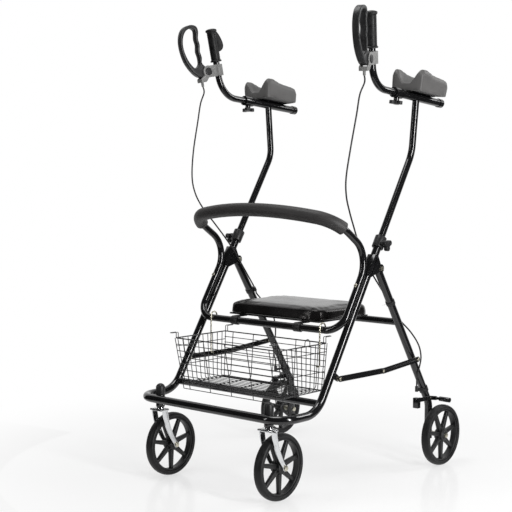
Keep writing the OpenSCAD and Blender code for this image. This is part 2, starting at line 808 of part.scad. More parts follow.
// Ring shares: size of the ring and height, from the piped foot to the crown
seat_ring_share = [[0.975, 0], [0.993, 0.07], [1, 0.24], [0.998, 0.52], [0.99, 0.74], [0.968, 0.86],
    [0.92, 0.925], [0.72, 0.965], [0.4, 0.99]];
function soft_square(a, p) = let(c = cos(a), s = sin(a))
    [sign(c) * pow(abs(c), p), sign(s) * pow(abs(s), p)];
function seat_ring(k) = let(r = seat_ring_share[k][0], z = seat_ring_share[k][1])
    [for (i = [0 : 4 * seat_n - 1])
    let(a = 360 * (i + 0.5) / (4 * seat_n), q = soft_square(a, seat_corner_share))
    [q[0] * r * seat_w / 2 * (1 - seat_waist_share[0] * (1 - q[1] * q[1])),
    q[1] * r * seat_l / 2 * (1 - seat_waist_share[1] * (1 - q[0] * q[0])), z * seat_h]];
module seat_cushion() {
    k = len(seat_ring_share);
    m = 4 * seat_n;
    points = concat([for (j = [0 : k - 1]) each seat_ring(j)], [[0, 0, 0], [0, 0, seat_h]]);
    faces = concat(
        [for (j = [0 : k - 2]) for (i = [0 : m - 1])
            [j * m + i, (j + 1) * m + i, (j + 1) * m + (i + 1) % m]],
        [for (j = [0 : k - 2]) for (i = [0 : m - 1])
            [j * m + i, (j + 1) * m + (i + 1) % m, j * m + (i + 1) % m]],
        [for (i = [0 : m - 1]) [i, (i + 1) % m, k * m]],
        [for (i = [0 : m - 1]) [(k - 1) * m + (i + 1) % m, (k - 1) * m + i, k * m + 1]]);
    color("black") translate(seat_mid) polyhedron(points, faces);
}
module seat_board() {
    w = seat_w - 2 * board_inset;
    l = seat_l - 2 * board_inset;
    color("dimgray") translate([-w / 2, seat_front_y + board_inset, board_z]) cube([w, l, board_t]);
}
module seat_clips() {
    r = slim_r + slide_gap;
    color("black") for (x = [-clip_x, clip_x]) difference() {
        union() {
            pin_x(x - clip_ring_w / 2, yz(seat_bar), r + clip_ring_t, clip_ring_w);
            translate([x - clip_ring_w / 2, seat_bar[1], board_z - clip_tab_t - run_gap])
                cube([clip_ring_w, clip_tab_l, clip_tab_t]);
        }
        pin_x(x - clip_ring_w, yz(seat_bar), r, 2 * clip_ring_w);
    }
}

// Folding stays: flat bars from the front tab and from the leg, face to face at the middle
module stay(a, b, x, rivet_x) {
    l = norm(b - a);
    turn = atan2(b[1] - a[1], b[0] - a[0]);
    color("black") union() {
        translate([sx + x, a[0], a[1]]) rotate([turn, 0, 0]) plate_yz(0, stay_t) difference() {
            polygon(bar_outline(l, stay_w, round_n));
            circle(r = rivet_r + run_gap);
        }
        pin_x(sx + rivet_x, b, rivet_head_r, rivet_head_h + run_gap);
    }
}
module front_stay() {
    stay(front_pivot, mid_pivot, stay_layer, stay_layer - rivet_head_h);
}
module rear_stay() {
    stay(rear_pivot, mid_pivot, stay_layer + stay_t + stay_layer_gap,
        stay_layer + 2 * stay_t + stay_layer_gap - run_gap);
}
module front_stay_left() {
    on_side(-1) front_stay();
}
module front_stay_right() {
    front_stay();
}
module rear_stay_left() {
    on_side(-1) rear_stay();
}
module rear_stay_right() {
    rear_stay();
}

// Casters: a swept fork with a stem, and its axle; the blades narrow from the crown to the foot
crown_p = [blade_lead, crown_z + crown_t / 2];
foot_p = [caster_trail, axle_z];
// Middle of an arc of the blade's radius from p to q
function arc_middle(p, q) = (p + q) / 2
    + unit([p[1] - q[1], q[0] - p[0]]) * sqrt(pow(blade_arc_r, 2) - pow(norm(q - p) / 2, 2));
blade_c = arc_middle(crown_p, foot_p);
function blade_edge(p, w) = p + unit(p - blade_c) * w / 2;
module blade_side(s) {
    translate(arc_middle(blade_edge(crown_p, s * blade_crown_w), blade_edge(foot_p, s * blade_foot_w)))
        circle(r = blade_arc_r, $fn = curve_fn);
}
module blade_outline() {
    a = blade_c + (crown_p - blade_c) * 2;
    b = blade_c + (foot_p - blade_c) * 2;
    difference() {
        union() {
            intersection() {
                difference() {
                    blade_side(1);
                    blade_side(-1);
                }
                polygon([blade_c, a, b]);
            }
            translate(foot_p) circle(r = blade_eye_r);
        }
        translate(foot_p) circle(r = axle_r + run_gap);
    }
}
module at_stem() {
    translate([stem_x, stem_y, 0]) children();
}
module caster_fork() {
    w = 2 * (blade_in + blade_t);
    color("silver") at_stem() union() {
        plate_yz(blade_in, blade_t) blade_outline();
        plate_yz(-blade_in - blade_t, blade_t) blade_outline();
        translate([-w / 2, blade_lead - crown_l / 2, crown_z]) cube([w, crown_l, crown_t]);
        translate([0, 0, crown_z + crown_t / 2]) cylinder(r = seat_ring_r,
            h = sleeve_low - face_gap - crown_z - crown_t / 2);
        translate([0, 0, crown_z + crown_t / 2]) cylinder(r = stem_r, h = stem_top - crown_z - crown_t / 2);
    }
}
module caster_axle() {
    x = blade_in + blade_t;
    color("silver") at_stem() union() {
        pin_x(-x - axle_head_h, foot_p, axle_r, 2 * (x + axle_head_h));
        pin_x(x + run_gap, foot_p, axle_head_r, axle_head_h);
        pin_x(-x - run_gap - axle_head_h, foot_p, axle_head_r, axle_head_h);
    }
}
module caster_fork_left() {
    on_side(-1) caster_fork();
}
module caster_fork_right() {
    caster_fork();
}
module caster_axle_left() {
    on_side(-1) caster_axle();
}
module caster_axle_right() {
    caster_axle();
}

// Wheels with their axle along X, at the origin
rim_r = wheel_d / 2 - tyre_h;
module spoke_outline() {
    for (i = [0 : spoke_count - 1]) rotate(360 * i / spoke_count)
        polygon([[0, -spoke_root_w / 2], [rim_r - rim_t / 2, -spoke_tip_w / 2],
            [rim_r - rim_t / 2, spoke_tip_w / 2], [0, spoke_root_w / 2]]);
}
module wheel(hub) {
    color("black") rotate([0, 90, 0]) difference() {
        union() {
            linear_extrude(rim_w, center = true) ring_outline(2 * rim_r, 2 * (rim_r - rim_t));
            linear_extrude(spoke_t, center = true) spoke_outline();
            cylinder(r = hub_r, h = hub, center = true);
        }
        cylinder(r = axle_r + slide_gap, h = hub + 2 * over, center = true);
    }
}
module tyre() {
    crown_r = (pow(tyre_w / 2, 2) + tyre_crown * tyre_crown) / (2 * tyre_crown);
    shoulder = wheel_d / 2 - tyre_crown;
    color("dimgray") rotate([0, 90, 0]) rotate_extrude() union() {
        translate([rim_r + tyre_seat, -tyre_w / 2]) square([shoulder - rim_r - tyre_seat, tyre_w]);
        intersection() {
            translate([wheel_d / 2 - crown_r, 0]) circle(r = crown_r);
            translate([shoulder - over / 2, -tyre_w / 2]) square([tyre_w, tyre_w]);
        }
    }
}
module at_front(s) {
    on_side(s) translate([stem_x, -axle_y, axle_z]) children();
}
module at_rear(s) {
    on_side(s) translate([rear_x, axle_y, axle_z]) children();
}
front_hub_w = 2 * (blade_in - face_gap);
module front_wheel_left() {
    at_front(-1) wheel(front_hub_w);
}
module front_wheel_right() {
    at_front(1) wheel(front_hub_w);
}
module front_tyre_left() {
    at_front(-1) tyre();
}
module front_tyre_right() {
    at_front(1) tyre();
}
module rear_wheel_left() {
    at_rear(-1) wheel(hub_w);
}
module rear_wheel_right() {
    at_rear(1) wheel(hub_w);
}
module rear_tyre_left() {
    at_rear(-1) tyre();
}
module rear_tyre_right() {
    at_rear(1) tyre();
}

// Arm posts with the arm tube, its collar, plug and pad plate
bend_p = side_point(post_bend_z);
arm_p = bend_p + [(arm_z - post_bend_z) * tan(arm_splay), 0, arm_z - post_bend_z];
post_path = [side_point(post_low_z), bend_p, arm_p];
module in_arm() {
    translate(arm_p) rotate([-arm_rise, arm_splay, 0]) children();
}
// Bar along the arm tube from y = a to y = b
module arm_bar(a, b, r) {
    translate([0, b, 0]) rotate([90, 0, 0]) cylinder(r = r, h = b - a);
}
module arm_post() {
    bore_r = slim_r + slide_gap;
    up = unit(arm_p - bend_p);
    color("black") difference() {
        union() {
            bent_tube(post_path, [post_bend_r], slim_tube_d, 0);
            in_arm() {
                arm_bar(-arm_front, arm_rear, frame_r);
                arm_bar(-arm_front - face_gap, -arm_front + arm_collar_l, arm_collar_r);
                arm_bar(arm_rear - arm_plug_l, arm_rear + arm_plug_l, arm_plug_r);
                translate([-plate_w / 2, -pad_front + (pad_l - plate_l) / 2, frame_r - plate_sink])
                    cube([plate_w, plate_l, plate_t]);
                translate([0, -arm_front + arm_collar_l / 2, -reach_boss_out])
                    cylinder(r = boss_r, h = reach_boss_out);
            }
        }
        in_arm() {
            arm_bar(-arm_front - over, arm_rear - arm_plug_l, bore_r);
            translate([0, -arm_front + arm_collar_l / 2, -2 * reach_boss_out])
                cylinder(r = knob_screw_r + run_gap, h = 2 * reach_boss_out);
        }
        bent_tube([side_point(post_low_z) - lean_up * over, bend_p, arm_p - up * post_top_cut],
            [post_bend_r], slim_bore, 0);
    }
}
module arm_post_left() {
    on_side(-1) arm_post();
}
module arm_post_right() {
    arm_post();
}

// Forearm pad: a soft trough on a grid, u across and v along it
pad_nu = 24;
pad_nv = 16;
pad_floor_share = 0.38;
pad_rise_share = [0.22, 0.58];
pad_lip_share = [0.84, 0.16, 0.16];
pad_end_share = [0.86, 0.14, 0.08];
pad_taper_share = [0.07, 0.03, 0.05];
pad_foot_share = [0.94, 0.96];
pad_wall_share = [[-1, 0.90], [-0.86, 0.99], [-0.62, 1], [-0.40, 0.93], [-0.15, 0.85], [0.2, 0.81],
    [0.6, 0.78], [0.86, 0.74], [1, 0.66]];
function wall_at(v, i) = i >= len(pad_wall_share) - 2 || v <= pad_wall_share[i + 1][0]
    ? mix(pad_wall_share[i][1], pad_wall_share[i + 1][1],
        ease((v - pad_wall_share[i][0]) / (pad_wall_share[i + 1][0] - pad_wall_share[i][0])))
    : wall_at(v, i + 1);
function pad_height(u, v) =
    let(top = wall_at(v, 0), a = abs(u), rise = ease((a - pad_rise_share[0]) / pad_rise_share[1]),
        lip = pow(max(0, (a - pad_lip_share[0]) / pad_lip_share[1]), 2),
        end = pow(max(0, (abs(v) - pad_end_share[0]) / pad_end_share[1]), 2))
    pad_h * (mix(pad_floor_share, top, rise) - pad_lip_share[2] * lip - pad_end_share[2] * end);
function pad_u(u, v) =
    u * pad_w / 2 * (1 - pad_taper_share[0] * pow(abs(v), 8) - pad_taper_share[1] * (v + 1) / 2);
function pad_v(u, v) = v * pad_l / 2 * (1 - pad_taper_share[2] * pow(abs(u), 8));
module pad() {
    w = pad_nu + 1;
    count = w * (pad_nv + 1);
    top = [for (j = [0 : pad_nv]) for (i = [0 : pad_nu])
        let(u = 2 * i / pad_nu - 1, v = 2 * j / pad_nv - 1) [pad_u(u, v), pad_v(u, v), pad_height(u, v)]];
    foot = [for (p = top) [p[0] * pad_foot_share[0], p[1] * pad_foot_share[1], 0]];
    edge = concat([for (i = [0 : pad_nu - 1]) i], [for (j = [0 : pad_nv - 1]) j * w + pad_nu],
        [for (i = [pad_nu : -1 : 1]) pad_nv * w + i], [for (j = [pad_nv : -1 : 1]) j * w]);
    m = len(edge);
    middle = round(pad_nv / 2) * w + round(pad_nu / 2);
    faces = concat(
        [for (j = [0 : pad_nv - 1]) for (i = [0 : pad_nu - 1])
            [j * w + i, (j + 1) * w + i, (j + 1) * w + i + 1]],
        [for (j = [0 : pad_nv - 1]) for (i = [0 : pad_nu - 1])
            [j * w + i, (j + 1) * w + i + 1, j * w + i + 1]],
        [for (k = [0 : m - 1]) [edge[k], edge[(k + 1) % m], count + (k + 1) % m]],
        [for (k = [0 : m - 1]) [edge[k], count + (k + 1) % m, count + k]],
        [for (k = [0 : m - 1]) [count + k, count + (k + 1) % m, count + m]]);
    points = concat(top, [for (e = edge) foot[e]], [foot[middle]]);
    color("gray") in_arm() translate([0, pad_l / 2 - pad_front, frame_r - plate_sink + plate_t + pad_seat])
        polyhedron(points, faces);
}
module arm_pad_left() {
    on_side(-1) pad();
}
module arm_pad_right() {
    pad();
}

// Handle tube, bent up from the arm tube, and what it carries
module in_handle() {
    in_arm() translate([0, -handle_reach, 0]) rotate([handle_lean, 0, 0]) children();
}
module handle_tube() {
    top = [0, -handle_reach, 0] + [0, -sin(handle_lean), cos(handle_lean)] * (handle_h - grip_flange_t);
    color("black") in_arm()
        bent_tube([[0, -arm_insert, 0], [0, -handle_reach, 0], top], [handle_bend_r], slim_tube_d, slim_bore);
}
module handle_tube_left() {
    on_side(-1) handle_tube();
}
module handle_tube_right() {
    handle_tube();
}
grip_l = handle_h - housing_at - housing_h / 2 - grip_gap;
// Palm fin: shares of its reach out and of the grip's length up
grip_fin_share = [[0.9, 0.45], [1, 0.7], [0.92, 0.9]];
grip_fin_ends_share = [0.3, 0.97];
module grip() {
    low = handle_h - grip_l;
    fin_low = low + grip_l * grip_fin_ends_share[0];
    fin_top = low + grip_l * grip_fin_ends_share[1];
    r = slim_r + foam_gap;
    top = handle_h - grip_flange_t + face_gap;
    color("black") in_handle() difference() {
        union() {
            translate([0, 0, low]) cylinder(d = grip_d, h = grip_l);
            translate([0, 0, low]) cylinder(r = grip_flange_r, h = grip_flange_t);
            intersection() {
                translate([0, 0, handle_h - grip_flange_t])
                    cylinder(r = grip_flange_r, h = grip_flange_t + grip_dome);
                translate([0, 0, handle_h + grip_dome - 2 * grip_flange_r]) sphere(r = 2 * grip_flange_r);
            }
            translate([-grip_fin_w / 2, 0, 0]) rotate([90, 0, 90]) linear_extrude(grip_fin_w)
                polygon(concat([[0, fin_low], [grip_d / 2, fin_low]],
                    [for (q = grip_fin_share) [grip_fin_out * q[0], low + grip_l * q[1]]],
                    [[grip_d / 2, fin_top], [0, fin_top]]));
        }
        translate([0, 0, low - over]) cylinder(r = r, h = top - low + over);
    }
}
module hand_grip_left() {
    on_side(-1) grip();
}
module hand_grip_right() {
    grip();
}

// Brake housings: a clamp on the handle with two cheeks, a pin and a cable barrel
module in_brake() {
    in_handle() translate([0, 0, housing_at]) rotate([0, 0, lever_toe]) children();
}
// Outline in the lever plane, first forward from the handle and then up
module cheek(x, t) {
    translate([x, 0, 0]) rotate([90, 0, 90]) linear_extrude(t) mirror([1, 0]) children();
}
cheek_neck_share = [0.94, 0.9];
module cheek_outline() {
    neck = cheek_r * cheek_neck_share[0];
    union() {
        polygon([[0, housing_h / 2], [pivot_out, neck], [pivot_out, -neck], [0, -housing_h / 2]]);
        translate([pivot_out, 0]) circle(r = cheek_r);
        polygon([[pivot_out, 0], [barrel_out + bridge_w / 2, -bridge_top],
            [barrel_out + bridge_w / 2, -bridge_low], [barrel_out - bridge_w / 2, -bridge_low],
            [pivot_out, -cheek_r * cheek_neck_share[1]]]);
    }
}
module brake_housing() {
    x = cheek_in + cheek_t;
    color("gray") in_brake() difference() {
        union() {
            translate([0, 0, -housing_h / 2]) cylinder(r = housing_r, h = housing_h);
            cheek(cheek_in, cheek_t) cheek_outline();
            cheek(-x, cheek_t) cheek_outline();
            pin_x(-x - pin_cap_h, [-pivot_out, 0], pin_cap_r, cheek_t / 2 + pin_cap_h);
            pin_x(x - cheek_t / 2, [-pivot_out, 0], pin_cap_r, cheek_t / 2 + pin_cap_h);
            pin_x(-x, [-pivot_out, 0], pin_r, 2 * x);
            translate([-x, -barrel_out - bridge_w / 2, -bridge_low])
                cube([2 * x, bridge_w, bridge_low - bridge_top]);
            translate([0, -barrel_out, -bridge_low - barrel_l])
                cylinder(r = barrel_r, h = barrel_l + bridge_low - bridge_top);
        }
        translate([0, 0, -housing_h]) cylinder(r = slim_r + run_gap, h = 2 * housing_h);
    }
}
module brake_housing_left() {
    on_side(-1) brake_housing();
}
module brake_housing_right() {
    brake_housing();
}
function lever_points(p) = [for (q = p) [pivot_out + lever_reach * q[0], lever_h * q[1]]];
module brake_lever() {
    base_w = 2 * (cheek_in - face_gap);
    color("black") in_brake() difference() {
        cheek(-base_w / 2, base_w) difference() {
            union() {
                polygon(smooth_loop(lever_points(lever_outer_share), 4));
                translate([pivot_out, 0]) circle(r = lever_hub_r);
            }
            polygon(smooth_loop(lever_points(lever_inner_share), 4));
            translate([pivot_out, 0]) circle(r = pin_r + run_gap);
        }
        translate([0, 0, -housing_h / 2 - over])
            cylinder(r = housing_r + lever_clear, h = housing_h + 2 * over);
    }
}
module brake_lever_left() {
    on_side(-1) brake_lever();
}
module brake_lever_right() {
    brake_lever();
}

// Rear brake arm: rocker on the leg with a bar and a rubber shoe over the tyre
brake_bar = [axle_y + brake_bar_y, axle_z + brake_bar_z];
brake_front = [brake_front_y, brake_front_z];
module arm_strip(a, b) {
    turn = atan2(b[1] - a[1], b[0] - a[0]);
    translate(a) rotate(turn) polygon(bar_outline(norm(b - a), brake_arm_w, round_n));
}
module brake_arm() {
    x = sx + brake_arm_layer;
    out = rear_x + brake_shoe_l / 2 - x;
    color("black") union() {
        plate_yz(x, brake_arm_t) difference() {
            union() {
                arm_strip(brake_pivot, brake_front);
                arm_strip(brake_pivot, brake_bar);
            }
            translate(brake_pivot) circle(r = rivet_r + run_gap);
        }
        translate([x + brake_arm_t - brake_block_d, brake_front_y - brake_block_w / 2,
            brake_front_z - brake_block_h + brake_arm_w / 2])
            cube([brake_block_d, brake_block_w, brake_block_h]);
        pin_x(x, brake_bar, brake_bar_r, out);
        pin_x(rear_x - brake_shoe_l / 2, brake_bar, brake_shoe_r, brake_shoe_l);
    }
}
module brake_arm_left() {
    on_side(-1) brake_arm();
}
module brake_arm_right() {
    brake_arm();
}

// Clamp collars at the tops of the side tubes, and the knobs
module post_collars() {
    color("black") both() difference() {
        union() {
            along(side_point(side_top_z) - lean_up * (collar_h - collar_lip), side_point(side_top_z))
                cylinder(r = collar_r, h = collar_h);
            pin_x(sx, yz(side_point(knob_at)), boss_r, boss_out);
        }
        along(side_point(side_top_z) - lean_up * 2 * collar_h, side_point(side_top_z))
            cylinder(r = frame_r + weld_gap, h = 2 * collar_h + run_gap);
        along(side_point(side_top_z) - lean_up * over, side_point(side_top_z))
            cylinder(r = slim_r + slide_gap, h = collar_h);
        pin_x(sx, yz(side_point(knob_at)), knob_screw_r + run_gap, 2 * boss_out);
    }
}
// Knob with its screw along +Z, the boss face at z = 0 and the screw reaching down by l
module knob(l, t, out) {
    color("black") union() {
        translate([0, 0, face_gap]) linear_extrude(t) union() {
            circle(r = knob_r);
            for (i = [0 : knob_lobes - 1])
                rotate(360 * i / knob_lobes) translate([out, 0]) circle(r = knob_lobe_r);
        }
        translate([0, 0, -l]) cylinder(r = knob_screw_r, h = l + t);
    }
}
module post_knob() {
    p = side_point(knob_at);
    translate([sx + boss_out, p[1], p[2]]) rotate([0, 90, 0])
        knob(boss_out - slim_r - face_gap, knob_t, knob_lobe_out);
}
module reach_knob() {
    in_arm() translate([0, -arm_front + arm_collar_l / 2, -reach_boss_out]) rotate([180, 0, 0])
        knob(reach_boss_out - slim_r - face_gap, reach_knob_t, reach_lobe_out);
}
module post_knob_left() {
    on_side(-1) post_knob();
}
module post_knob_right() {
    post_knob();
}
module reach_knob_left() {
    on_side(-1) reach_knob();
}
module reach_knob_right() {
    reach_knob();
}

// Brake cable: one swept round cord from the lever barrel, past the hinge, to the rear brake
function turned_x(p, a) = [p[0], p[1] * cos(a) - p[2] * sin(a), p[1] * sin(a) + p[2] * cos(a)];
function turned_y(p, a) = [p[0] * cos(a) + p[2] * sin(a), p[1], p[2] * cos(a) - p[0] * sin(a)];
function turned_z(p, a) = [p[0] * cos(a) - p[1] * sin(a), p[0] * sin(a) + p[1] * cos(a), p[2]];
function arm_to_part(p) = arm_p + turned_y(turned_x(p, -arm_rise), arm_splay);
function brake_to_part(p) = arm_to_part([0, -handle_reach, 0]
    + turned_x([0, 0, housing_at] + turned_z(p, lever_toe), handle_lean));
cable_low = bridge_low + barrel_l + face_gap;
cable_start = [for (i = [0 : 1]) brake_to_part([0, -barrel_out, -cable_low - i * lead_l])];
cable_end = [for (i = [2 : -1 : 0]) [stop_p[0], stop_p[1], stop_z + i * (ferrule_h + clip_slack)]];
cable_clip = [clip_a + clip_eye - leg_dir * clip_h, clip_a + clip_eye, clip_b + clip_eye,
    clip_b + clip_eye + leg_dir * clip_h];
cable_points = concat(cable_start, cable_route, cable_clip, cable_tail, cable_end);
function cable_way(path, i) = i == 0 ? unit(cable_start[1] - cable_start[0])
    : unit(path[min(len(path) - 1, i + 1)] - path[i - 1]);
module brake_cable() {
    path = smooth_path(cable_points, cable_steps);
    n = len(path);
    m = cable_sides;
    rings = [for (i = [0 : n - 1])
        let(t = cable_way(path, i), a = unit(cross(t, [1, 0, 0])), b = cross(t, a))
        for (k = [0 : m - 1]) path[i] + (a * cos(360 * k / m) + b * sin(360 * k / m)) * cable_d / 2];
    faces = concat([[for (k = [0 : m - 1]) k]], [[for (k = [m - 1 : -1 : 0]) (n - 1) * m + k]],
        [for (i = [0 : n - 2]) for (k = [0 : m - 1])
            [i * m + k, (i + 1) * m + k, (i + 1) * m + (k + 1) % m]],
        [for (i = [0 : n - 2]) for (k = [0 : m - 1])
            [i * m + k, (i + 1) * m + (k + 1) % m, i * m + (k + 1) % m]]);
    color("black") {
        polyhedron(rings, faces);
        translate([stop_p[0], stop_p[1], brake_front_z + brake_arm_w / 2 + face_gap])
            cylinder(r = inner_wire_r, h = stop_z - brake_front_z - brake_arm_w / 2 - 2 * face_gap);
    }
}
module brake_cable_left() {
    on_side(-1) brake_cable();
}
module brake_cable_right() {
    brake_cable();
}

base_tube();
cross_bar();
backrest_loop();
backrest_foam();
frame_brackets();
frame_fasteners();
post_collars();
caster_sleeves();
caster_caps();
basket_front();
basket_back();
basket_left();
basket_right();
basket_floor();
basket_hangers();
rear_leg_left();
rear_leg_right();
seat_rest_bar();
leg_brackets();
leg_fasteners();
cable_clips();
seat_cushion();
seat_board();
seat_clips();
front_stay_left();
front_stay_right();
rear_stay_left();
rear_stay_right();
caster_fork_left();
caster_fork_right();
caster_axle_left();
caster_axle_right();
front_wheel_left();
front_wheel_right();
front_tyre_left();
front_tyre_right();
rear_wheel_left();
rear_wheel_right();
rear_tyre_left();
rear_tyre_right();
arm_post_left();
arm_post_right();
arm_pad_left();
arm_pad_right();
handle_tube_left();
handle_tube_right();
hand_grip_left();
hand_grip_right();
brake_housing_left();
brake_housing_right();
brake_lever_left();
brake_lever_right();
brake_arm_left();
brake_arm_right();
brake_cable_left();
brake_cable_right();
post_knob_left();
post_knob_right();
reach_knob_left();
reach_knob_right();
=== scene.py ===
"""Looks of an upright walker: its finishes, soft parts, wires and cables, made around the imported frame."""
import json
import math

import bmesh
import bpy
import numpy as np
from bpy.props import FloatProperty, FloatVectorProperty, IntProperty, PointerProperty
from bpy.types import Operator, Panel, PropertyGroup
from mathutils import Matrix, Vector
from mathutils.bvhtree import BVHTree

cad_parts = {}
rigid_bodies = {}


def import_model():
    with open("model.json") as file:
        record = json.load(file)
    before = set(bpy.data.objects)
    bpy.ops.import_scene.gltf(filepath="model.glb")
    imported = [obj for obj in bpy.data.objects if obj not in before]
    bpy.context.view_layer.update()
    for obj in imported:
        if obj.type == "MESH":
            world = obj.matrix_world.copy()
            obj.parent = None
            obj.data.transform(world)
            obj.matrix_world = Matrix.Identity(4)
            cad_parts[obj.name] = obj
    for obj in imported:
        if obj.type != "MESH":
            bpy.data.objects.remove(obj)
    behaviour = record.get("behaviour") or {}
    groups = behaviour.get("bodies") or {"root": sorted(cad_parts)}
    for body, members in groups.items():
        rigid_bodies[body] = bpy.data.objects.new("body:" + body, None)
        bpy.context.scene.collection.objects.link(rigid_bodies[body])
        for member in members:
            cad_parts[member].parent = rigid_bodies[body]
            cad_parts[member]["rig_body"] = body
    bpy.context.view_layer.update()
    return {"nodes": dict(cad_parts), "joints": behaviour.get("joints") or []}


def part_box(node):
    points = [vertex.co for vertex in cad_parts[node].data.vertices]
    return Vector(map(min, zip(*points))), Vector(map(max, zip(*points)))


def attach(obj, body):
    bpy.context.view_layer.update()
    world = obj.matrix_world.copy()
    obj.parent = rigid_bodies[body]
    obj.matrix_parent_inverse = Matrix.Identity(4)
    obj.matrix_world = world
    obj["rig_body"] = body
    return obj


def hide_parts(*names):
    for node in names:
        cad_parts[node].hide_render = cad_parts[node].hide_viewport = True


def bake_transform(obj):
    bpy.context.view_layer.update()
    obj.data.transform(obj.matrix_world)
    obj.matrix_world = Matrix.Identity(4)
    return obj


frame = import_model()

bl_info = {
    "name": "Upright walker",
    "version": (1, 0, 0),
    "blender": (4, 5, 0),
    "location": "View3D > Sidebar > Walker",
    "description": "Dresses the frame of a forearm walker with its finishes, soft parts, wires and cables",
    "category": "Object",
}

SIDES = ("left", "right")
MERGE = 1e-6
FLAT_ANGLE = math.radians(0.4)
CREASE_ANGLE = math.radians(38)
CORNER_ROOM_SHARE = 0.45

# Camera of the studio view, from the photograph's angle
CAMERA_PLACE = Vector((2.3354, -2.8639, 0.9348))
CAMERA_AZIMUTH = math.radians(41.17)
CAMERA_DOWN = math.radians(3.78)
CAMERA_ROLL = math.radians(0.26)
CAMERA_LENS = 80.2
CAMERA_SENSOR = 36.0

# Studio: lamps as name, place, target, size and watts; rows of the dark card as radius and height
FLOOR_REACH = 30.0
FLOOR_FADE = (0.40, 1.5)
FLOOR_GLOW_SHARES = (0.62, 1.0)
SKY_LIGHT = 0.16
LAMPS = [
    ("right_strip", (2.95, -0.55, 1.25), (0, 0, 0.75), (0.44, 2.3), 96),
    ("left_strip", (-1.2, -2.9, 1.4), (0, 0, 0.7), (0.14, 2.0), 13),
    ("rear_box", (1.75, 2.45, 2.5), (0, 0, 0.9), (0.9, 1.3), 34),
    ("top_box", (-0.3, -0.5, 3.3), (0, 0, 0.5), (1.3, 1.3), 36),
]
CARD_ROWS = [(0.95, 0.004), (4.8, 0.004), (4.8, 3.6), (0.02, 4.2)]
CARD_HALF = math.radians(122)
CARD_STEPS = 48
CARD_LIGHT = 0.03

# Frame places, in metres, right-hand side
SIDE_X = 0.296
LEAN = math.radians(32)
LEAN_CROSS_Z = 0.667
LOOP_AHEAD = 0.0248
LOOP_BEND_Z = 0.709
SLIM_R = 0.0111
SEAT_BAR = Vector((0.226, -0.1436, 0.484))
LEG_TOP = Vector((SIDE_X, 0.040, 0.665))
LEG_BEND = Vector((SIDE_X, 0.344, 0.201))

# Rivets of the folding stays, their washers as shares of the heads, and the middle pivot's place (Y, Z)
RIVET_R = 0.0048
MIDDLE_RIVET_R = 0.0046
RIVET_RISE = 0.0016
RIVET_SIDES = 20
RIVET_RINGS = 10
WASHER_SHARES = (1.3, 0.5)
WASHER_SIDES = 24
STAY_MIDDLE = (0.044, 0.346)

# Wheels: sides as radius and distance from the middle, or the hub's end; spokes as radius, width, thickness
WHEEL_R = 0.100
RIM_R = 0.085
RIM_SIDE = [(0.079, 0.011), (RIM_R, 0.011)]
RIM_EDGE = 0.0024
RIM_STEPS = 96
HUB_HALVES = {"front": 0.0217, "rear": 0.019}
HUB_SIDE = [(0.0045, 0), (0.0125, 0), (0.0140, 0.003), (0.0190, 0.005)]
HUB_EDGE = 0.0014
HUB_STEPS = 48
SPOKE_ENDS = [(0.015, 0.016, 0.014), (0.081, 0.011, 0.012)]
SPOKE_EDGE = 0.0028
TYRE_SIDE = [
    (RIM_R, 0.0125), (0.0870, 0.0140), (0.0885, 0.0134), (0.0900, 0.0147), (0.0935, 0.0150),
    (0.0962, 0.0136), (0.0977, 0.0115), (0.0975, 0.0104), (0.0984, 0.0096), (0.0996, 0.0050),
]
TYRE_EDGE = 0.0006
TYRE_STEPS = 128

# Basket: its corner loops as rise, reach and width, its arch as height and half width
BASKET_HALF = 0.212
BASKET_TAPER = 0.006
BASKET_RIM_Z = 0.438
BASKET_LIP_Z = 0.273
BASKET_FLOOR_Z = 0.2927
BASKET_FRONT_Y = (-0.335, -0.301)
BASKET_REAR_Y = (-0.105, -0.118)
BASKET_ROWS = 8
BASKET_POSTS = 5
BASKET_POST_STEP = 0.089
BASKET_SIDE_POSTS = 10
BASKET_SIDE_LEVEL_SHARES = (0.18, 0.60, 1.0)
CORNER_LOOP = (0.019, 0.028, 0.009)
ARCH = (0.021, 0.012)
ARCH_SHARE = 0.59
ARCH_STEPS = 9
WIRE_SIDES = 8
RIM_SIDES = 10
HANGER_SIDES = 12
BEND_STEPS = 5
WALL_BEND = 0.010
LOOP_BEND = 0.003
RIM_BEND = 0.006
HANGER_BEND = 0.005
HANGER_GAP = 0.0003
HANGER_LIFT = 0.007
HANGER_FOOT_Z = 0.372
HANGER_HOOK_ANGLES = (-8, *range(0, 181, 12))

# Seat cushion and its welt
SEAT_SHARES = (0.988, 0.984, 0.955, 1.0)
SEAT_HELD = 0.0030
SWELL_FRAMES = 20
COVER_CLOTH = {"quality": 6, "mass": 0.3, "tension_stiffness": 18, "compression_stiffness": 18,
               "bending_stiffness": 1.2}
COVER_EVEN_SHARE = 0.4
COVER_SMOOTH_SHARE = 0.6
WELT_SHARE = 0.10
WELT_STEPS = 240
WELT_REACH = 0.6
WELT_SIDES = 8

# Backrest curve in its own leaning plane, and its foam
BACK_LEAN = math.radians(57)
BACK_REACH = 0.250
BACK_CURVE_R = 0.800
BACK_CORNER_R = 0.092
FOAM_TURN_SHARE = 0.77
FOAM_GAP = 0.0001
FOAM_DISH = 0.0035
FOAM_SIDES = 40
FOAM_CORNER_STEPS = 16
FOAM_CURVE_STEPS = 40
FOAM_DISH_STEPS = 4

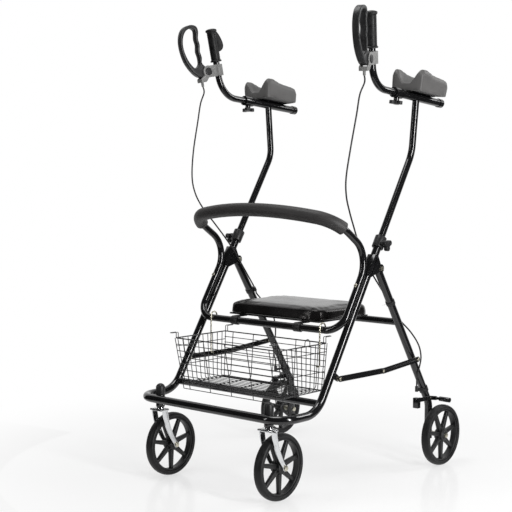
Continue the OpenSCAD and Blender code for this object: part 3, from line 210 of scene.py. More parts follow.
# Forearm pads: heights of the walls along the pad, from front to rear, and of the skirt with its width
PAD_SIZE = Vector((0.120, 0.164, 0.067))
PAD_FRONT = 0.068
PAD_SEAT = 0.0153
PAD_STEPS = 56
PAD_FLAT = 0.004
PAD_EVEN_SHARE = 0.5
PAD_FLOOR_SHARE = 0.38
PAD_WALL_SHARES = [(-1, 0.90), (-0.86, 0.99), (-0.62, 1), (-0.40, 0.93), (-0.15, 0.85), (0.2, 0.81),
                   (0.6, 0.78), (0.86, 0.74), (1, 0.66)]
PAD_SKIRT_SHARES = [(0.92, 1.0), (0.5, 0.985), (0.12, 0.965), (0.03, 0.955), (0.0, 0.93)]
PAD_TROUGH_SHARES = (0.22, 0.58)
PAD_LIP_SHARES = (0.84, 0.16)
PAD_END_SHARES = (0.86, 0.08)
PAD_CORNER_SHARES = (0.07, 0.05)
PAD_CORNER_POWER = 8
PAD_TAPER_SHARE = 0.03
PAD_SKIRT_LONG_SHARE = 0.6

# Arm, handle and brake places along the arm tube
KNOB_AHEAD = 0.108
KNOB_BELOW = 0.024
HANDLE_REACH = 0.240
HANDLE_LEAN = math.radians(14)
HANDLE_H = 0.221
HOUSING_AT = 0.088
HOUSING_EDGE = 0.0010
LEVER_TOE = math.radians(15)
LEVER_EDGE = 0.0026
PIVOT_OUT = 0.044
CHEEK_OUT = 0.014
CAP_OUTLINE = [(0.0002, 0.0), (0.0128, 0.0), (0.0128, 0.0016), (0.0105, 0.0026), (0.0002, 0.0030)]
CAP_EDGE = 0.0008
CAP_STEPS = 40

# Hand grip: ends as distance out from the sleeve and along from that end, one rib, and the palm fin
GRIP_L = 0.105
GRIP_R = 0.0155
GRIP_GAP = 0.0002
GRIP_LOW = HANDLE_H - GRIP_L
GRIP_FOOT = [(0.0025, 0), (0.0035, 0.001), (0.0035, 0.004), (0.0012, 0.006)]
GRIP_HEAD = [(0.0010, 0.006), (0.0035, 0.004), (0.0035, 0)]
GRIP_DOME = (0.019, 0.006)
GRIP_DOME_TURN = (0.15, math.pi / 2 - 0.03)
GRIP_RIB = [(0, -0.0022), (0.0005, -0.0008), (0.0005, 0.0008)]
GRIP_RIBS = 15
GRIP_RIB_ROOM = 0.008
GRIP_SIDES = 48
GRIP_DOME_STEPS = 8
FIN_OUT = 0.033
FIN_TURN = math.radians(42)
FIN_HALF = 0.0050
FIN_ROOT = 0.004
FIN_TAPER_SHARE = 0.35
FIN_SIDES = 16
FIN_STEPS = 4
FIN_EDGE_SHARES = [(0.30, 0.44), (0.33, 0.70), (0.38, 0.88), (0.45, 0.98), (0.53, 1.0), (0.63, 0.95),
                   (0.75, 0.84), (0.86, 0.70), (0.94, 0.56), (0.97, 0.44)]

# Brake cable, right-hand side, from the barrel to the rear brake
BARREL_OUT = 0.068
CABLE_LOW = 0.0473
CABLE_LEAD = 0.020
CABLE_ROUTE = [
    (0.327, -0.104, 1.190), (0.326, -0.118, 1.130), (0.323, -0.142, 1.030), (0.317, -0.154, 0.945),
    (0.311, -0.144, 0.890), (0.303, -0.116, 0.842), (0.291, -0.078, 0.796), (0.280, -0.040, 0.750),
    (0.273, -0.002, 0.704), (0.272, 0.038, 0.655),
]
CABLE_TAIL = [
    (0.280, 0.190, 0.490), (0.292, 0.238, 0.446), (0.305, 0.264, 0.404), (0.3115, 0.270, 0.366),
    (0.312, 0.262, 0.334), (0.307, 0.258, 0.312), (0.302, 0.262, 0.2868), (0.302, 0.262, 0.2684),
    (0.302, 0.262, 0.250),
]
CLIP_Z = 0.552
CLIP_H = 0.014
CLIP_EYE = (-0.0176, 0.008)

# Runs of the cable: name, the two bodies, and where the bend between them starts and ends
CABLE_RUNS = [
    ("upper", "handle_{}", "arm_{}", (0.326, -0.080, 1.225), (0.326, -0.118, 1.130)),
    ("middle", "arm_{}", "front_frame", (0.323, -0.142, 1.060), (0.303, -0.116, 0.850)),
    ("lower", "front_frame", "rear_frame", (0.276, -0.020, 0.725), (0.275, 0.095, 0.600)),
]
CABLE_CUTS = [(0.325, -0.126, 1.095), (0.297, -0.097, 0.819)]
CABLE_STEPS = 8
CABLE_SIDES = 12


def length(name, text, default):
    """A length that a user may change."""
    return FloatProperty(name=name, description=text, default=default, unit="LENGTH")


def colour(name, text, default):
    """A colour that a user may change."""
    return FloatVectorProperty(name=name, description=text, default=default, subtype="COLOR", size=3,
                               min=0, max=1)


class WalkerSizes(PropertyGroup):
    """Sizes of the dressed pieces that a user may change."""

    edge: length("Edge", "Rounding of the edges of moulded and thick metal pieces", 0.0012)
    small_edge: length("Small edge", "Rounding of the edges of brackets, stays and fasteners", 0.0006)
    wire: length("Basket wire", "Diameter of the basket's wires", 0.0026)
    rim_wire: length("Rim wire", "Diameter of the basket's rim wire", 0.0040)
    hanger: length("Hanger rod", "Diameter of the rods that hang the basket", 0.0048)
    cable: length("Brake cable", "Diameter of a brake cable's sheath", 0.005)
    foam: length("Backrest foam", "Diameter of the foam sleeve", 0.042)
    voxel: length("Cushion mesh", "Size of the cushion's mesh before it swells", 0.005)
    swell: length("Cushion swell", "Most that the cushion's cover may move", 0.0035)
    seam: length("Seam", "Diameter of the welted seam", 0.0022)
    pressure: FloatProperty(name="Cushion pressure", description="Pressure of the filling", default=4.0)
    spokes: IntProperty(name="Spokes", description="Spokes in a wheel", default=7)


class WalkerColours(PropertyGroup):
    """Base colours of the finishes."""

    paint: colour("Paint", "Gloss black powder coat", (0.005, 0.005, 0.0055))
    plastic: colour("Plastic", "Satin black plastic", (0.011, 0.011, 0.0115))
    rubber: colour("Rubber", "Tyres and hand grips", (0.008, 0.008, 0.0084))
    chrome: colour("Chrome", "Caster forks", (0.74, 0.75, 0.76))
    zinc: colour("Zinc", "Bolts, axles, rivets and hanger rods", (0.66, 0.63, 0.52))
    foam: colour("Foam", "Backrest sleeve", (0.026, 0.0245, 0.0245))
    vinyl: colour("Vinyl", "Seat cover", (0.007, 0.0066, 0.0066))
    pad: colour("Pad", "Forearm pads", (0.088, 0.086, 0.085))
    housing: colour("Housing", "Brake housings", (0.165, 0.165, 0.162))
    floor: colour("Floor", "Studio floor", (0.90, 0.90, 0.90))


# Node trees

class Value:
    """One output of a node, with sums written as Python expressions."""

    def __init__(self, tree, made, socket):
        self.tree, self.made, self.socket = tree, made, socket

    def __getitem__(self, name):
        return Value(self.tree, self.made, self.made.outputs[name])

    def _sum(self, operation, first, second):
        return self.tree.node("ShaderNodeMath", {"operation": operation}, {0: first, 1: second})

    def __add__(self, other):
        return self._sum("ADD", self, other)

    def __radd__(self, other):
        return self._sum("ADD", other, self)

    def __mul__(self, other):
        return self._sum("MULTIPLY", self, other)

    def __rmul__(self, other):
        return self._sum("MULTIPLY", other, self)

    def __truediv__(self, other):
        return self._sum("DIVIDE", self, other)

    def __rtruediv__(self, other):
        return self._sum("DIVIDE", other, self)


class Tree:
    """A node tree whose nodes all come from one method."""

    def __init__(self, tree):
        self.tree = tree

    def node(self, kind, settings=None, values=None, out=0):
        """A node with its settings and its sockets' values or links; a list links several to one socket."""
        made = self.tree.nodes.new(kind)
        for name, setting in (settings or {}).items():
            setattr(made, name, setting)
        for key, value in (values or {}).items():
            for given in value if isinstance(value, list) else [value]:
                if isinstance(given, Value):
                    self.tree.links.new(given.socket, made.inputs[key])
                else:
                    made.inputs[key].default_value = given
        return Value(self, made, made.outputs[out] if made.outputs else None)


class Finish(Tree):
    """Node tree of one surface finish."""

    def __init__(self, name):
        self.material = bpy.data.materials.new(name)
        self.material.use_nodes = True
        self.material.node_tree.nodes.clear()
        super().__init__(self.material.node_tree)
        self.place = self.node("ShaderNodeTexCoord", out="Object")

    def noise(self, scale, detail, stretch=None):
        place = self.place
        if stretch:
            place = self.node("ShaderNodeMapping", values={"Vector": place, "Scale": stretch})
        return self.node("ShaderNodeTexNoise", values={"Vector": place, "Scale": scale, "Detail": detail})

    def cells(self, scale, feature="F1"):
        return self.node("ShaderNodeTexVoronoi", {"feature": feature},
                         {"Vector": self.place, "Scale": scale}, out="Distance")

    def between(self, value, low, high):
        return self.node("ShaderNodeMapRange", values={"Value": value, "From Min": low, "From Max": high})

    def mottled(self, value, rgb, low, high):
        """The colour times low where the value is 0, and times high where it is 1."""
        first, second = [(*(min(1.0, c * times) for c in rgb), 1.0) for times in (low, high)]
        return self.node("ShaderNodeMix", {"data_type": "RGBA"}, {0: value, 6: first, 7: second}, out=2)

    def bump(self, height, strength, depth, under=None):
        values = {"Height": height, "Strength": strength, "Distance": depth}
        if under:
            values["Normal"] = under
        return self.node("ShaderNodeBump", values=values)

    def surface(self, **values):
        names = {key.replace("_", " "): value for key, value in values.items()}
        return self.output(self.node("ShaderNodeBsdfPrincipled", values=names))

    def output(self, shader):
        self.node("ShaderNodeOutputMaterial", values={"Surface": shader})
        return self.material


def gloss_paint(name, colours):
    """Powder coat with a fine orange peel and a few dull patches."""
    f = Finish(name)
    haze = f.noise(11, 4)
    peel = f.noise(420, 1)
    return f.surface(Base_Color=f.mottled(haze, colours.paint, 0.7, 1.6), Roughness=0.10 + 0.05 * haze,
                     Normal=f.bump(peel, 0.002, 0.0006), Specular_IOR_Level=0.62)


def satin_plastic(name, colours):
    """Moulded black plastic with spark-eroded grain."""
    f = Finish(name)
    haze = f.noise(24, 4)
    grain = f.noise(1900, 3)
    return f.surface(Base_Color=f.mottled(haze, colours.plastic, 0.75, 1.7),
                     Roughness=0.30 + 0.16 * haze + 0.06 * grain, Normal=f.bump(grain, 0.12, 0.0004),
                     Specular_IOR_Level=0.34)


def tyre_rubber(name, colours):
    """Solid rubber, dull and slightly dusty."""
    f = Finish(name)
    dust = f.between(f.noise(60, 6), 0.42, 0.75)
    grain = f.noise(1200, 2)
    return f.surface(Base_Color=f.mottled(dust, colours.rubber, 0.8, 2.0), Roughness=0.42 + 0.24 * dust,
                     Normal=f.bump(grain, 0.16, 0.0004), Specular_IOR_Level=0.26)


def bright_chrome(name, colours):
    """Chromed steel with faint polishing lines, and grey patches painted into its colour as dark
    reflections.
    """
    f = Finish(name)
    lines = f.noise(260, 3, stretch=(1.0, 1.0, 0.08))
    # The patches darken the chrome's colour as a painted dark reflection; the same patches are also rougher.
    painted_reflection_patches = f.between(f.noise(38, 5), 0.50, 0.80)
    return f.surface(Base_Color=f.mottled(painted_reflection_patches, colours.chrome, 1.0, 0.6), Metallic=1.0,
                     Roughness=0.10 + 0.10 * lines + 0.10 * painted_reflection_patches, Normal=f.bump(lines, 0.03, 0.0004))


def zinc_plate(name, colours):
    """Warm zinc plating with a mottled bloom."""
    f = Finish(name)
    bloom = f.noise(240, 5)
    return f.surface(Base_Color=f.mottled(bloom, colours.zinc, 1.05, 0.78), Metallic=1.0,
                     Roughness=0.24 + 0.20 * bloom, Normal=f.bump(bloom, 0.05, 0.0004))


def soft_foam(name, colours):
    """Closed-cell foam sleeve with a skin of fine pores."""
    f = Finish(name)
    pores = f.cells(900)
    haze = f.noise(18, 4)
    skin = f.bump(f.noise(70, 4), 0.12, 0.0012)
    return f.surface(Base_Color=f.mottled(haze, colours.foam, 0.8, 1.5), Roughness=0.46 + 0.14 * haze,
                     Normal=f.bump(pores, 0.14, 0.0004, skin), Specular_IOR_Level=0.34)


def grained_vinyl(name, colours):
    """Black leatherette with a pebbled grain."""
    f = Finish(name)
    pebbles = f.cells(620, "SMOOTH_F1")
    creases = f.noise(46, 6)
    worn = f.between(f.noise(13, 4), 0.45, 0.75)
    soft = f.bump(creases, 0.035, 0.0016)
    return f.surface(Base_Color=f.mottled(worn, colours.vinyl, 0.85, 1.6),
                     Roughness=0.18 + 0.08 * worn + 0.05 * creases,
                     Normal=f.bump(pebbles, 0.09, 0.0005, soft), Specular_IOR_Level=0.26,
                     Specular_Tint=(1.0, 0.965, 0.945, 1.0))


def moulded_pad(name, colours):
    """Grey integral-skin foam, matte, with faint mottling."""
    f = Finish(name)
    mottle = f.noise(30, 6)
    grain = f.noise(1500, 3)
    return f.surface(Base_Color=f.mottled(mottle, colours.pad, 0.82, 1.18), Roughness=0.38 + 0.16 * mottle,
                     Normal=f.bump(grain, 0.12, 0.0004), Specular_IOR_Level=0.30)


def grey_plastic(name, colours):
    """Glass-filled grey plastic of the brake housings."""
    f = Finish(name)
    flow = f.noise(55, 5)
    grain = f.noise(2100, 3)
    return f.surface(Base_Color=f.mottled(flow, colours.housing, 0.86, 1.12), Roughness=0.42 + 0.16 * flow,
                     Normal=f.bump(grain, 0.14, 0.0003), Specular_IOR_Level=0.30)


FINISHES = {
    "painted_steel": gloss_paint, "black_plastic": satin_plastic, "tyre_rubber": tyre_rubber,
    "chrome": bright_chrome, "plain_steel": zinc_plate, "foam": soft_foam, "vinyl": grained_vinyl,
    "grey_pad": moulded_pad, "grey_plastic": grey_plastic, "cable_sheath": satin_plastic,
}


def finish(slot):
    """The material of a slot, made on first use."""
    name = "finish_" + slot
    found = bpy.data.materials.get(name)
    return found or FINISHES[slot](name, bpy.context.scene.walker_colours)


# Pieces

def add_object(name, data):
    """An object in the scene."""
    obj = bpy.data.objects.new(name, data)
    bpy.context.scene.collection.objects.link(obj)
    return obj


def piece(name, mesh, slot, body=None, nodes=()):
    """A finished mesh as an object of its slot's material, riding on a body."""
    mesh.name = name
    obj = add_object(name, mesh)
    mesh.materials.clear()
    mesh.materials.append(finish(slot))
    if body:
        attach(obj, body)
    if nodes:
        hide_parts(*nodes)
    return obj


def plain_mesh(points, edges=(), faces=()):
    """A mesh from lists of its points, edges and faces."""
    mesh = bpy.data.meshes.new("piece")
    mesh.from_pydata(points, edges, faces)
    return mesh


def to_mesh(form):
    """A bmesh as a plain mesh."""
    mesh = bpy.data.meshes.new("piece")
    form.to_mesh(mesh)
    form.free()
    return mesh


def soften(form):
    """Smooth shading, with creases where faces meet at a clear angle."""
    for face in form.faces:
        face.smooth = True
    for edge in form.edges:
        edge.smooth = len(edge.link_faces) == 2 and edge.calc_face_angle() < CREASE_ANGLE


def merged(node):
    """A copy of a node's mesh with its loose triangles joined."""
    form = bmesh.new()
    form.from_mesh(frame["nodes"][node].data)
    bmesh.ops.remove_doubles(form, verts=form.verts, dist=MERGE)
    return form


def dressed(node, slot, edge, steps):
    """The node's shape with merged faces, eased edges and smooth shading, in the node's place."""
    form = merged(node)
    bmesh.ops.dissolve_limit(form, angle_limit=FLAT_ANGLE, verts=form.verts, edges=form.edges)
    if edge:
        sharp = [e for e in form.edges if len(e.link_faces) == 2 and e.calc_face_angle() > CREASE_ANGLE]
        bmesh.ops.bevel(form, geom=sharp, offset=edge, segments=steps, profile=0.5, affect="EDGES",
                        clamp_overlap=False)
    soften(form)
    return piece("dressed_" + node, to_mesh(form), slot, frame["nodes"][node]["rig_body"], [node])


def dress_all(nodes, slot, edge=0.0, steps=2):
    """Dresses nodes; a name that ends in _ stands for its left and right nodes."""
    for node in nodes:
        for side in SIDES if node.endswith("_") else [""]:
            dressed(node + side, slot, edge, steps)


def skin(rings, closed=False):
    """Faces between rings of equal count; closed joins the last to the first, else both ends are capped."""
    form = bmesh.new()
    rows = [[form.verts.new(p) for p in ring] for ring in rings]
    count = len(rows[0])
    for a, b in zip(rows, rows[1:] + (rows[:1] if closed else [])):
        for k in range(count):
            n = (k + 1) % count
            form.faces.new((a[k], a[n], b[n], b[k]))
    if not closed:
        form.faces.new(rows[0])
        form.faces.new(rows[-1])
    bmesh.ops.recalc_face_normals(form, faces=form.faces)
    return form


def loft(rings, closed=False):
    """Smooth skin over rings as a mesh."""
    form = skin(rings, closed)
    soften(form)
    return to_mesh(form)


def joined(meshes):
    """Several meshes as one."""
    form = bmesh.new()
    for mesh in meshes:
        form.from_mesh(mesh)
    return to_mesh(form)


def sided(mesh, side):
    """The right-hand mesh, or its mirror image for the left."""
    made = mesh.copy()
    if side == "left":
        made.transform(Matrix.Scale(-1, 4, Vector((1, 0, 0))))
        made.flip_normals()
    return made


def placed(mesh, matrix):
    """The mesh moved by a matrix."""
    mesh.transform(matrix)
    return mesh


def outward(side):
    """Sign of X on the outer side of the walker."""
    return 1 if side == "right" else -1


# Curves and outlines

def mix(a, b, t):
    """Value between two others."""
    return a + (b - a) * t


def ease(t):
    """Smooth step from 0 to 1."""
    t = min(1.0, max(0.0, t))
    return t * t * (3 - 2 * t)


def turns(count):
    """Angles of a full turn in equal steps."""
    return [2 * math.pi * k / count for k in range(count)]


def curve_point(a, b, c, d, t):
    """Point on a smooth curve from b to c, with a and d beside them."""
    return 0.5 * (2 * b + (c - a) * t + (2 * a - 5 * b + 4 * c - d) * t * t
                  + (3 * b - a - 3 * c + d) * t ** 3)


def smooth_path(points, steps):
    """Points along a smooth curve through the given ones."""
    p = [Vector(q) for q in points]
    last = len(p) - 1
    path = [curve_point(p[max(0, i - 1)], p[i], p[i + 1], p[min(last, i + 2)], j / steps)
            for i in range(last) for j in range(steps)]
    return path + [p[last]]


def ways_along(path):
    """Direction of a path at each of its points."""
    last = len(path) - 1
    return [(path[min(last, i + 1)] - path[max(0, i - 1)]).normalized() for i in range(last + 1)]


def ring_around(centre, ahead, radius, sides, up):
    """Circle square to a direction, with its first point towards up."""
    side = ahead.cross(up).normalized()
    top = side.cross(ahead).normalized()
    return [centre + radius * (math.cos(a) * top + math.sin(a) * side) for a in turns(sides)]


def swept(path, radius, sides):
    """Round bar along a path."""
    up = Vector((1, 0, 0))
    return loft([ring_around(p, way, radius, sides, up) for p, way in zip(path, ways_along(path))])


def rounded(points, radius, steps=4):
    """Closed outline with its corners rounded."""
    p = [Vector(q) for q in points]
    outline = []
    for i, corner in enumerate(p):
        before, after = (p[i - 1] - corner), (p[(i + 1) % len(p)] - corner)
        reach = min(radius, CORNER_ROOM_SHARE * before.length, CORNER_ROOM_SHARE * after.length)
        a, b = corner + before.normalized() * reach, corner + after.normalized() * reach
        for k in range(steps + 1):
            t = k / steps
            outline.append(a * (1 - t) ** 2 + corner * 2 * t * (1 - t) + b * t * t)
    return outline


def mirrored(half, crown=()):
    """Outline of both sides of a wheel's section from one side's, with the crown between them."""
    return [(r, -x) for r, x in half] + [*crown] + [(r, x) for r, x in reversed(half)]


def turned(outline, steps):
    """Ring with a closed outline of (radius, place along the axle), turned about X."""
    rings = [[Vector((q[1], q[0] * math.cos(a), q[0] * math.sin(a))) for q in outline] for a in turns(steps)]
    return loft(rings, closed=True)


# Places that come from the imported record

def axes_matrix(origin, x, y, z):
    """Matrix of a place with its own axes."""
    return Matrix.Translation(origin) @ Matrix((x, y, z)).transposed().to_4x4()


def joint(name):
    """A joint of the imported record."""
    return next(j for j in frame["joints"] if j["name"] == name)


def arm_place():
    """Axes of the right arm where its post meets the arm tube: Y to the rear, Z up."""
    z = -Vector(joint("reach_knob_right_turn")["axis"])
    y = -Vector(joint("handle_right_reach")["axis"])
    x = y.cross(z).normalized()
    knob = Vector(joint("reach_knob_right_turn")["pos_m"])
    return axes_matrix(knob + z * KNOB_BELOW + y * KNOB_AHEAD, x, y, z)


def handle_place():
    """Axes of the right upright handle, from the arm tube's line."""
    return arm_place() @ Matrix.Translation((0, -HANDLE_REACH, 0)) @ Matrix.Rotation(HANDLE_LEAN, 4, "X")


def brake_place():
    """Axes of the right brake housing on its handle."""
    return handle_place() @ Matrix.Translation((0, 0, HOUSING_AT)) @ Matrix.Rotation(LEVER_TOE, 4, "Z")


# Geometry Nodes

def new_tree(name, **inputs):
    """Geometry tree with a shape, named inputs and a finish; returns it with its inputs."""
    group = bpy.data.node_groups.new(name, "GeometryNodeTree")
    for label, kind in {"Shape": "Geometry", **inputs, "Finish": "Material"}.items():
        group.interface.new_socket(label, in_out="INPUT", socket_type="NodeSocket" + kind)
    group.interface.new_socket("Shape", in_out="OUTPUT", socket_type="NodeSocketGeometry")
    tree = Tree(group)
    return tree, tree.node("NodeGroupInput")


def close_tree(tree, put, shape):
    """Ends a tree with real geometry of its finish; returns the node group."""
    real = tree.node("GeometryNodeRealizeInstances", values={"Geometry": shape})
    done = tree.node("GeometryNodeSetMaterial", values={"Geometry": real, "Material": put["Finish"]})
    tree.node("NodeGroupOutput", values={"Shape": done})
    return tree.tree


def wire_tree():
    """Lines become round wires with bent corners."""
    tree, put = new_tree("Round wires", Radius="Float", Bend="Float", Sides="Int")
    lines = tree.node("GeometryNodeMeshToCurve", values={"Mesh": put["Shape"]})
    bent = tree.node("GeometryNodeFilletCurve", {"mode": "POLY"},
                     {"Curve": lines, "Radius": put["Bend"], "Count": BEND_STEPS, "Limit Radius": True})
    ring = tree.node("GeometryNodeCurvePrimitiveCircle", {"mode": "RADIUS"},
                     {"Resolution": put["Sides"], "Radius": put["Radius"]})
    wires = tree.node("GeometryNodeCurveToMesh",
                      values={"Curve": bent, "Profile Curve": ring, "Fill Caps": True})
    return close_tree(tree, put, tree.node("GeometryNodeSetShadeSmooth", values={"Geometry": wires}))


def around_tree():
    """One shape repeated round the axle, which is X."""
    tree, put = new_tree("Repeat round the axle", Count="Int")
    points = tree.node("GeometryNodePoints", values={"Count": put["Count"]})
    turn = tree.node("GeometryNodeInputIndex") * (2 * math.pi) / put["Count"]
    spin = tree.node("ShaderNodeCombineXYZ", values={"X": turn})
    copies = tree.node("GeometryNodeInstanceOnPoints",
                       values={"Points": points, "Instance": put["Shape"], "Rotation": spin})
    return close_tree(tree, put, copies)


def rivet_tree():
    """Domed rivet heads with a washer, on points that face along their facing attribute."""
    tree, put = new_tree("Rivet heads", Radius="Float", Rise="Float")
    radius, rise = put["Radius"], put["Rise"]
    dome = tree.node("GeometryNodeMeshUVSphere",
                     values={"Segments": RIVET_SIDES, "Rings": RIVET_RINGS, "Radius": 1.0})
    size = tree.node("ShaderNodeCombineXYZ", values={"X": radius, "Y": radius, "Z": rise})
    head = tree.node("GeometryNodeTransform", values={"Geometry": dome, "Scale": size})
    wide, thick = WASHER_SHARES
    washer = tree.node("GeometryNodeMeshCylinder",
                       values={"Vertices": WASHER_SIDES, "Radius": radius * wide, "Depth": rise * thick})
    smooth = tree.node("GeometryNodeSetShadeSmooth", values={"Geometry": head})
    both = tree.node("GeometryNodeJoinGeometry", values={"Geometry": [smooth, washer["Mesh"]]})
    facing = tree.node("GeometryNodeInputNamedAttribute", {"data_type": "FLOAT_VECTOR"}, {"Name": "facing"})
    turn = tree.node("FunctionNodeAlignEulerToVector", {"axis": "Z"}, {"Vector": facing})
    copies = tree.node("GeometryNodeInstanceOnPoints",
                       values={"Points": put["Shape"], "Instance": both, "Rotation": turn})
    return close_tree(tree, put, copies)


def evaluated(obj):
    """An object's mesh after its modifiers, which are then removed."""
    graph = bpy.context.evaluated_depsgraph_get()
    made = bpy.data.meshes.new_from_object(obj.evaluated_get(graph))
    obj.modifiers.clear()
    return made


def through(mesh, group, slot, **values):
    """The mesh that a tree makes from another mesh."""
    source = add_object("source", mesh)
    modifier = source.modifiers.new("Tree", "NODES")
    modifier.node_group = group
    values["Finish"] = finish(slot)
    for item in group.interface.items_tree:
        if item.in_out == "INPUT" and item.name in values:
            modifier[item.identifier] = values[item.name]
    made = evaluated(source)
    bpy.data.objects.remove(source)
    return made


def line_mesh(lines):
    """Open lines of points as a mesh of edges; a line that ends where it starts is a loop."""
    points, edges = [], []
    for line in lines:
        loop = (Vector(line[0]) - Vector(line[-1])).length < MERGE
        first = len(points)
        points += [Vector(p) for p in (line[:-1] if loop else line)]
        last = len(points) - 1
        edges += [(i, i + 1) for i in range(first, last)] + ([(last, first)] if loop else [])
    return plain_mesh(points, edges)


def facing_point(place, way):
    """One point with the direction that it faces."""
    mesh = plain_mesh([place])
    mesh.attributes.new("facing", "FLOAT_VECTOR", "POINT").data.foreach_set("vector", list(way))
    return mesh


# Stage

def make_camera():
    """The camera at the photograph's angle."""
    a, e, roll = CAMERA_AZIMUTH, CAMERA_DOWN, CAMERA_ROLL
    ahead = Vector((-math.sin(a) * math.cos(e), math.cos(a) * math.cos(e), -math.sin(e)))
    level = Vector((math.cos(a), math.sin(a), 0))
    up = level.cross(ahead)
    right = level * math.cos(roll) + up * math.sin(roll)
    top = up * math.cos(roll) - level * math.sin(roll)
    data = bpy.data.cameras.new("studio_camera")
    data.lens, data.sensor_width = CAMERA_LENS, CAMERA_SENSOR
    camera = add_object("studio_camera", data)
    camera.matrix_world = axes_matrix(CAMERA_PLACE, right, top, -ahead)
    bpy.context.scene.camera = camera


def seen_directly(tree):
    """1 for rays from the camera, off a shiny surface or through a clear one, else 0."""
    rays = tree.node("ShaderNodeLightPath")
    total = rays["Is Camera Ray"] + rays["Is Glossy Ray"] + rays["Is Transmission Ray"]
    return tree.node("ShaderNodeMath", {"operation": "MINIMUM"}, {0: total, 1: 1.0})


def glow(tree, strength):
    """White light of a strength."""
    return tree.node("ShaderNodeEmission", values={"Color": (1, 1, 1, 1), "Strength": strength})


def make_floor():
    """A wide floor that takes shadows near the walker and fades to white further out."""
    r = FLOOR_REACH
    mesh = plain_mesh([(-r, -r, 0), (r, -r, 0), (r, r, 0), (-r, r, 0)], faces=[(0, 1, 2, 3)])
    floor = add_object("studio_floor", mesh)
    f = Finish("studio_floor")
    base = bpy.context.scene.walker_colours.floor
    far = f.node("ShaderNodeVectorMath", {"operation": "LENGTH"}, {0: f.place}, out="Value")
    (start, end), (least, most) = FLOOR_FADE, FLOOR_GLOW_SHARES
    fade = f.node("ShaderNodeMapRange", {"interpolation_type": "SMOOTHSTEP"},
                  {"Value": far, "From Min": start, "From Max": end, "To Min": least, "To Max": most})
    paper = f.node("ShaderNodeBsdfPrincipled",
                   values={"Base Color": (*base, 1.0), "Roughness": 0.16, "IOR": 1.22})
    mixed = f.node("ShaderNodeMixShader", values={0: fade * seen_directly(f), 1: paper, 2: glow(f, 1.0)})
    mesh.materials.append(f.output(mixed))


def make_world():
    """White surround for the eye and for reflections, softer light for surfaces."""
    world = bpy.data.worlds.new("studio_world")
    world.use_nodes = True
    world.node_tree.nodes.clear()
    tree = Tree(world.node_tree)
    strength = SKY_LIGHT + (1 - SKY_LIGHT) * seen_directly(tree)
    sky = tree.node("ShaderNodeBackground", values={"Color": (1, 1, 1, 1), "Strength": strength})
    tree.node("ShaderNodeOutputWorld", values={"Surface": sky})
    bpy.context.scene.world = world


def make_lamps():
    """Tall strips on the right and left for the streaks, a soft box at the rear right and one overhead."""
    for name, place, target, size, watts in LAMPS:
        data = bpy.data.lights.new(name, "AREA")
        data.shape = "RECTANGLE"
        data.size, data.size_y = size
        data.energy = watts
        lamp = add_object(name, data)
        lamp.location = place
        lamp.rotation_mode = "QUATERNION"
        lamp.rotation_quaternion = (Vector(target) - Vector(place)).to_track_quat("-Z", "Y")


def make_dark_card():
    """A curved dark card with a roof on the camera's side, which only mirror-like surfaces show."""
    middle = CAMERA_AZIMUTH - math.pi / 2
    angles = [middle + CARD_HALF * (2 * i / CARD_STEPS - 1) for i in range(CARD_STEPS + 1)]
    points = [(r * math.cos(a), r * math.sin(a), z) for r, z in CARD_ROWS for a in angles]
    row = len(angles)
    starts = [i + row * k for k in range(len(CARD_ROWS) - 1) for i in range(CARD_STEPS)]
    mesh = plain_mesh(points, faces=[(i, i + 1, i + 1 + row, i + row) for i in starts])
    card = add_object("dark_card", mesh)
    card.visible_camera = card.visible_diffuse = card.visible_shadow = card.visible_transmission = False
    f = Finish("dark_card")
    mesh.materials.append(f.output(glow(f, CARD_LIGHT)))


class WALKER_OT_stage(Operator):
    """Pale floor, studio light and camera"""

    bl_idname = "walker.stage"
    bl_label = "Stage"

    def execute(self, context):
        context.scene.view_settings.view_transform = "Standard"
        make_floor()
        make_world()
        make_lamps()
        make_dark_card()
        make_camera()
        return {"FINISHED"}


# Cables

def leg_point(z):
    """Point on the right rear leg's line at a height."""
    return LEG_TOP + (LEG_BEND - LEG_TOP) * ((LEG_TOP.z - z) / (LEG_TOP.z - LEG_BEND.z))


def cable_points():
    """Right brake cable's route, from the barrel under the lever to the rear brake."""
    brake = brake_place()
    start = [brake @ Vector((0, -BARREL_OUT, -CABLE_LOW - lead)) for lead in (0, CABLE_LEAD)]
    down = (LEG_BEND - LEG_TOP).normalized()
    tilt = math.atan2(LEG_BEND.y - LEG_TOP.y, LEG_TOP.z - LEG_BEND.z)
    eye = Vector((CLIP_EYE[0], CLIP_EYE[1] * math.cos(tilt), CLIP_EYE[1] * math.sin(tilt)))
    top, foot = leg_point(CLIP_Z + CLIP_H / 2) + eye, leg_point(CLIP_Z - CLIP_H / 2) + eye
    return start + CABLE_ROUTE + [top - down * CLIP_H, top, foot, foot + down * CLIP_H] + CABLE_TAIL


def cut_path(path, places):
    """The path cut into runs at the points nearest to the given places."""
    cuts = [min(range(len(path)), key=lambda i: (path[i] - Vector(p)).length) for p in places]
    ends = [0, *cuts, len(path) - 1]
    return [path[a:b + 1] for a, b in zip(ends, ends[1:])]


class WALKER_OT_cables(Operator):
    """Brake cables: three runs of sheath a side"""

    bl_idname = "walker.cables"
    bl_label = "Brake cables"

    def execute(self, context):
        radius = context.scene.walker_sizes.cable / 2
        paths = cut_path(smooth_path(cable_points(), CABLE_STEPS), CABLE_CUTS)
        for side in SIDES:
            for path, (name, a, b, start, end) in zip(paths, CABLE_RUNS):
                mesh = sided(swept(path, radius, CABLE_SIDES), side)
                cable = piece(f"brake_cable_{name}_{side}", mesh, "cable_sheath")
                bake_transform(cable)
                if name == "upper":
                    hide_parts("brake_cable_" + side)
        return {"FINISHED"}


# Metal frame

class WALKER_OT_tubes(Operator):
    """Painted tubes of the frame, posts and handles"""

    bl_idname = "walker.tubes"
    bl_label = "Tubes"

    def execute(self, context):
        dress_all(["base_tube", "cross_bar", "backrest_loop", "seat_rest_bar", "rear_leg_", "arm_post_",
                   "handle_tube_"], "painted_steel")
        return {"FINISHED"}


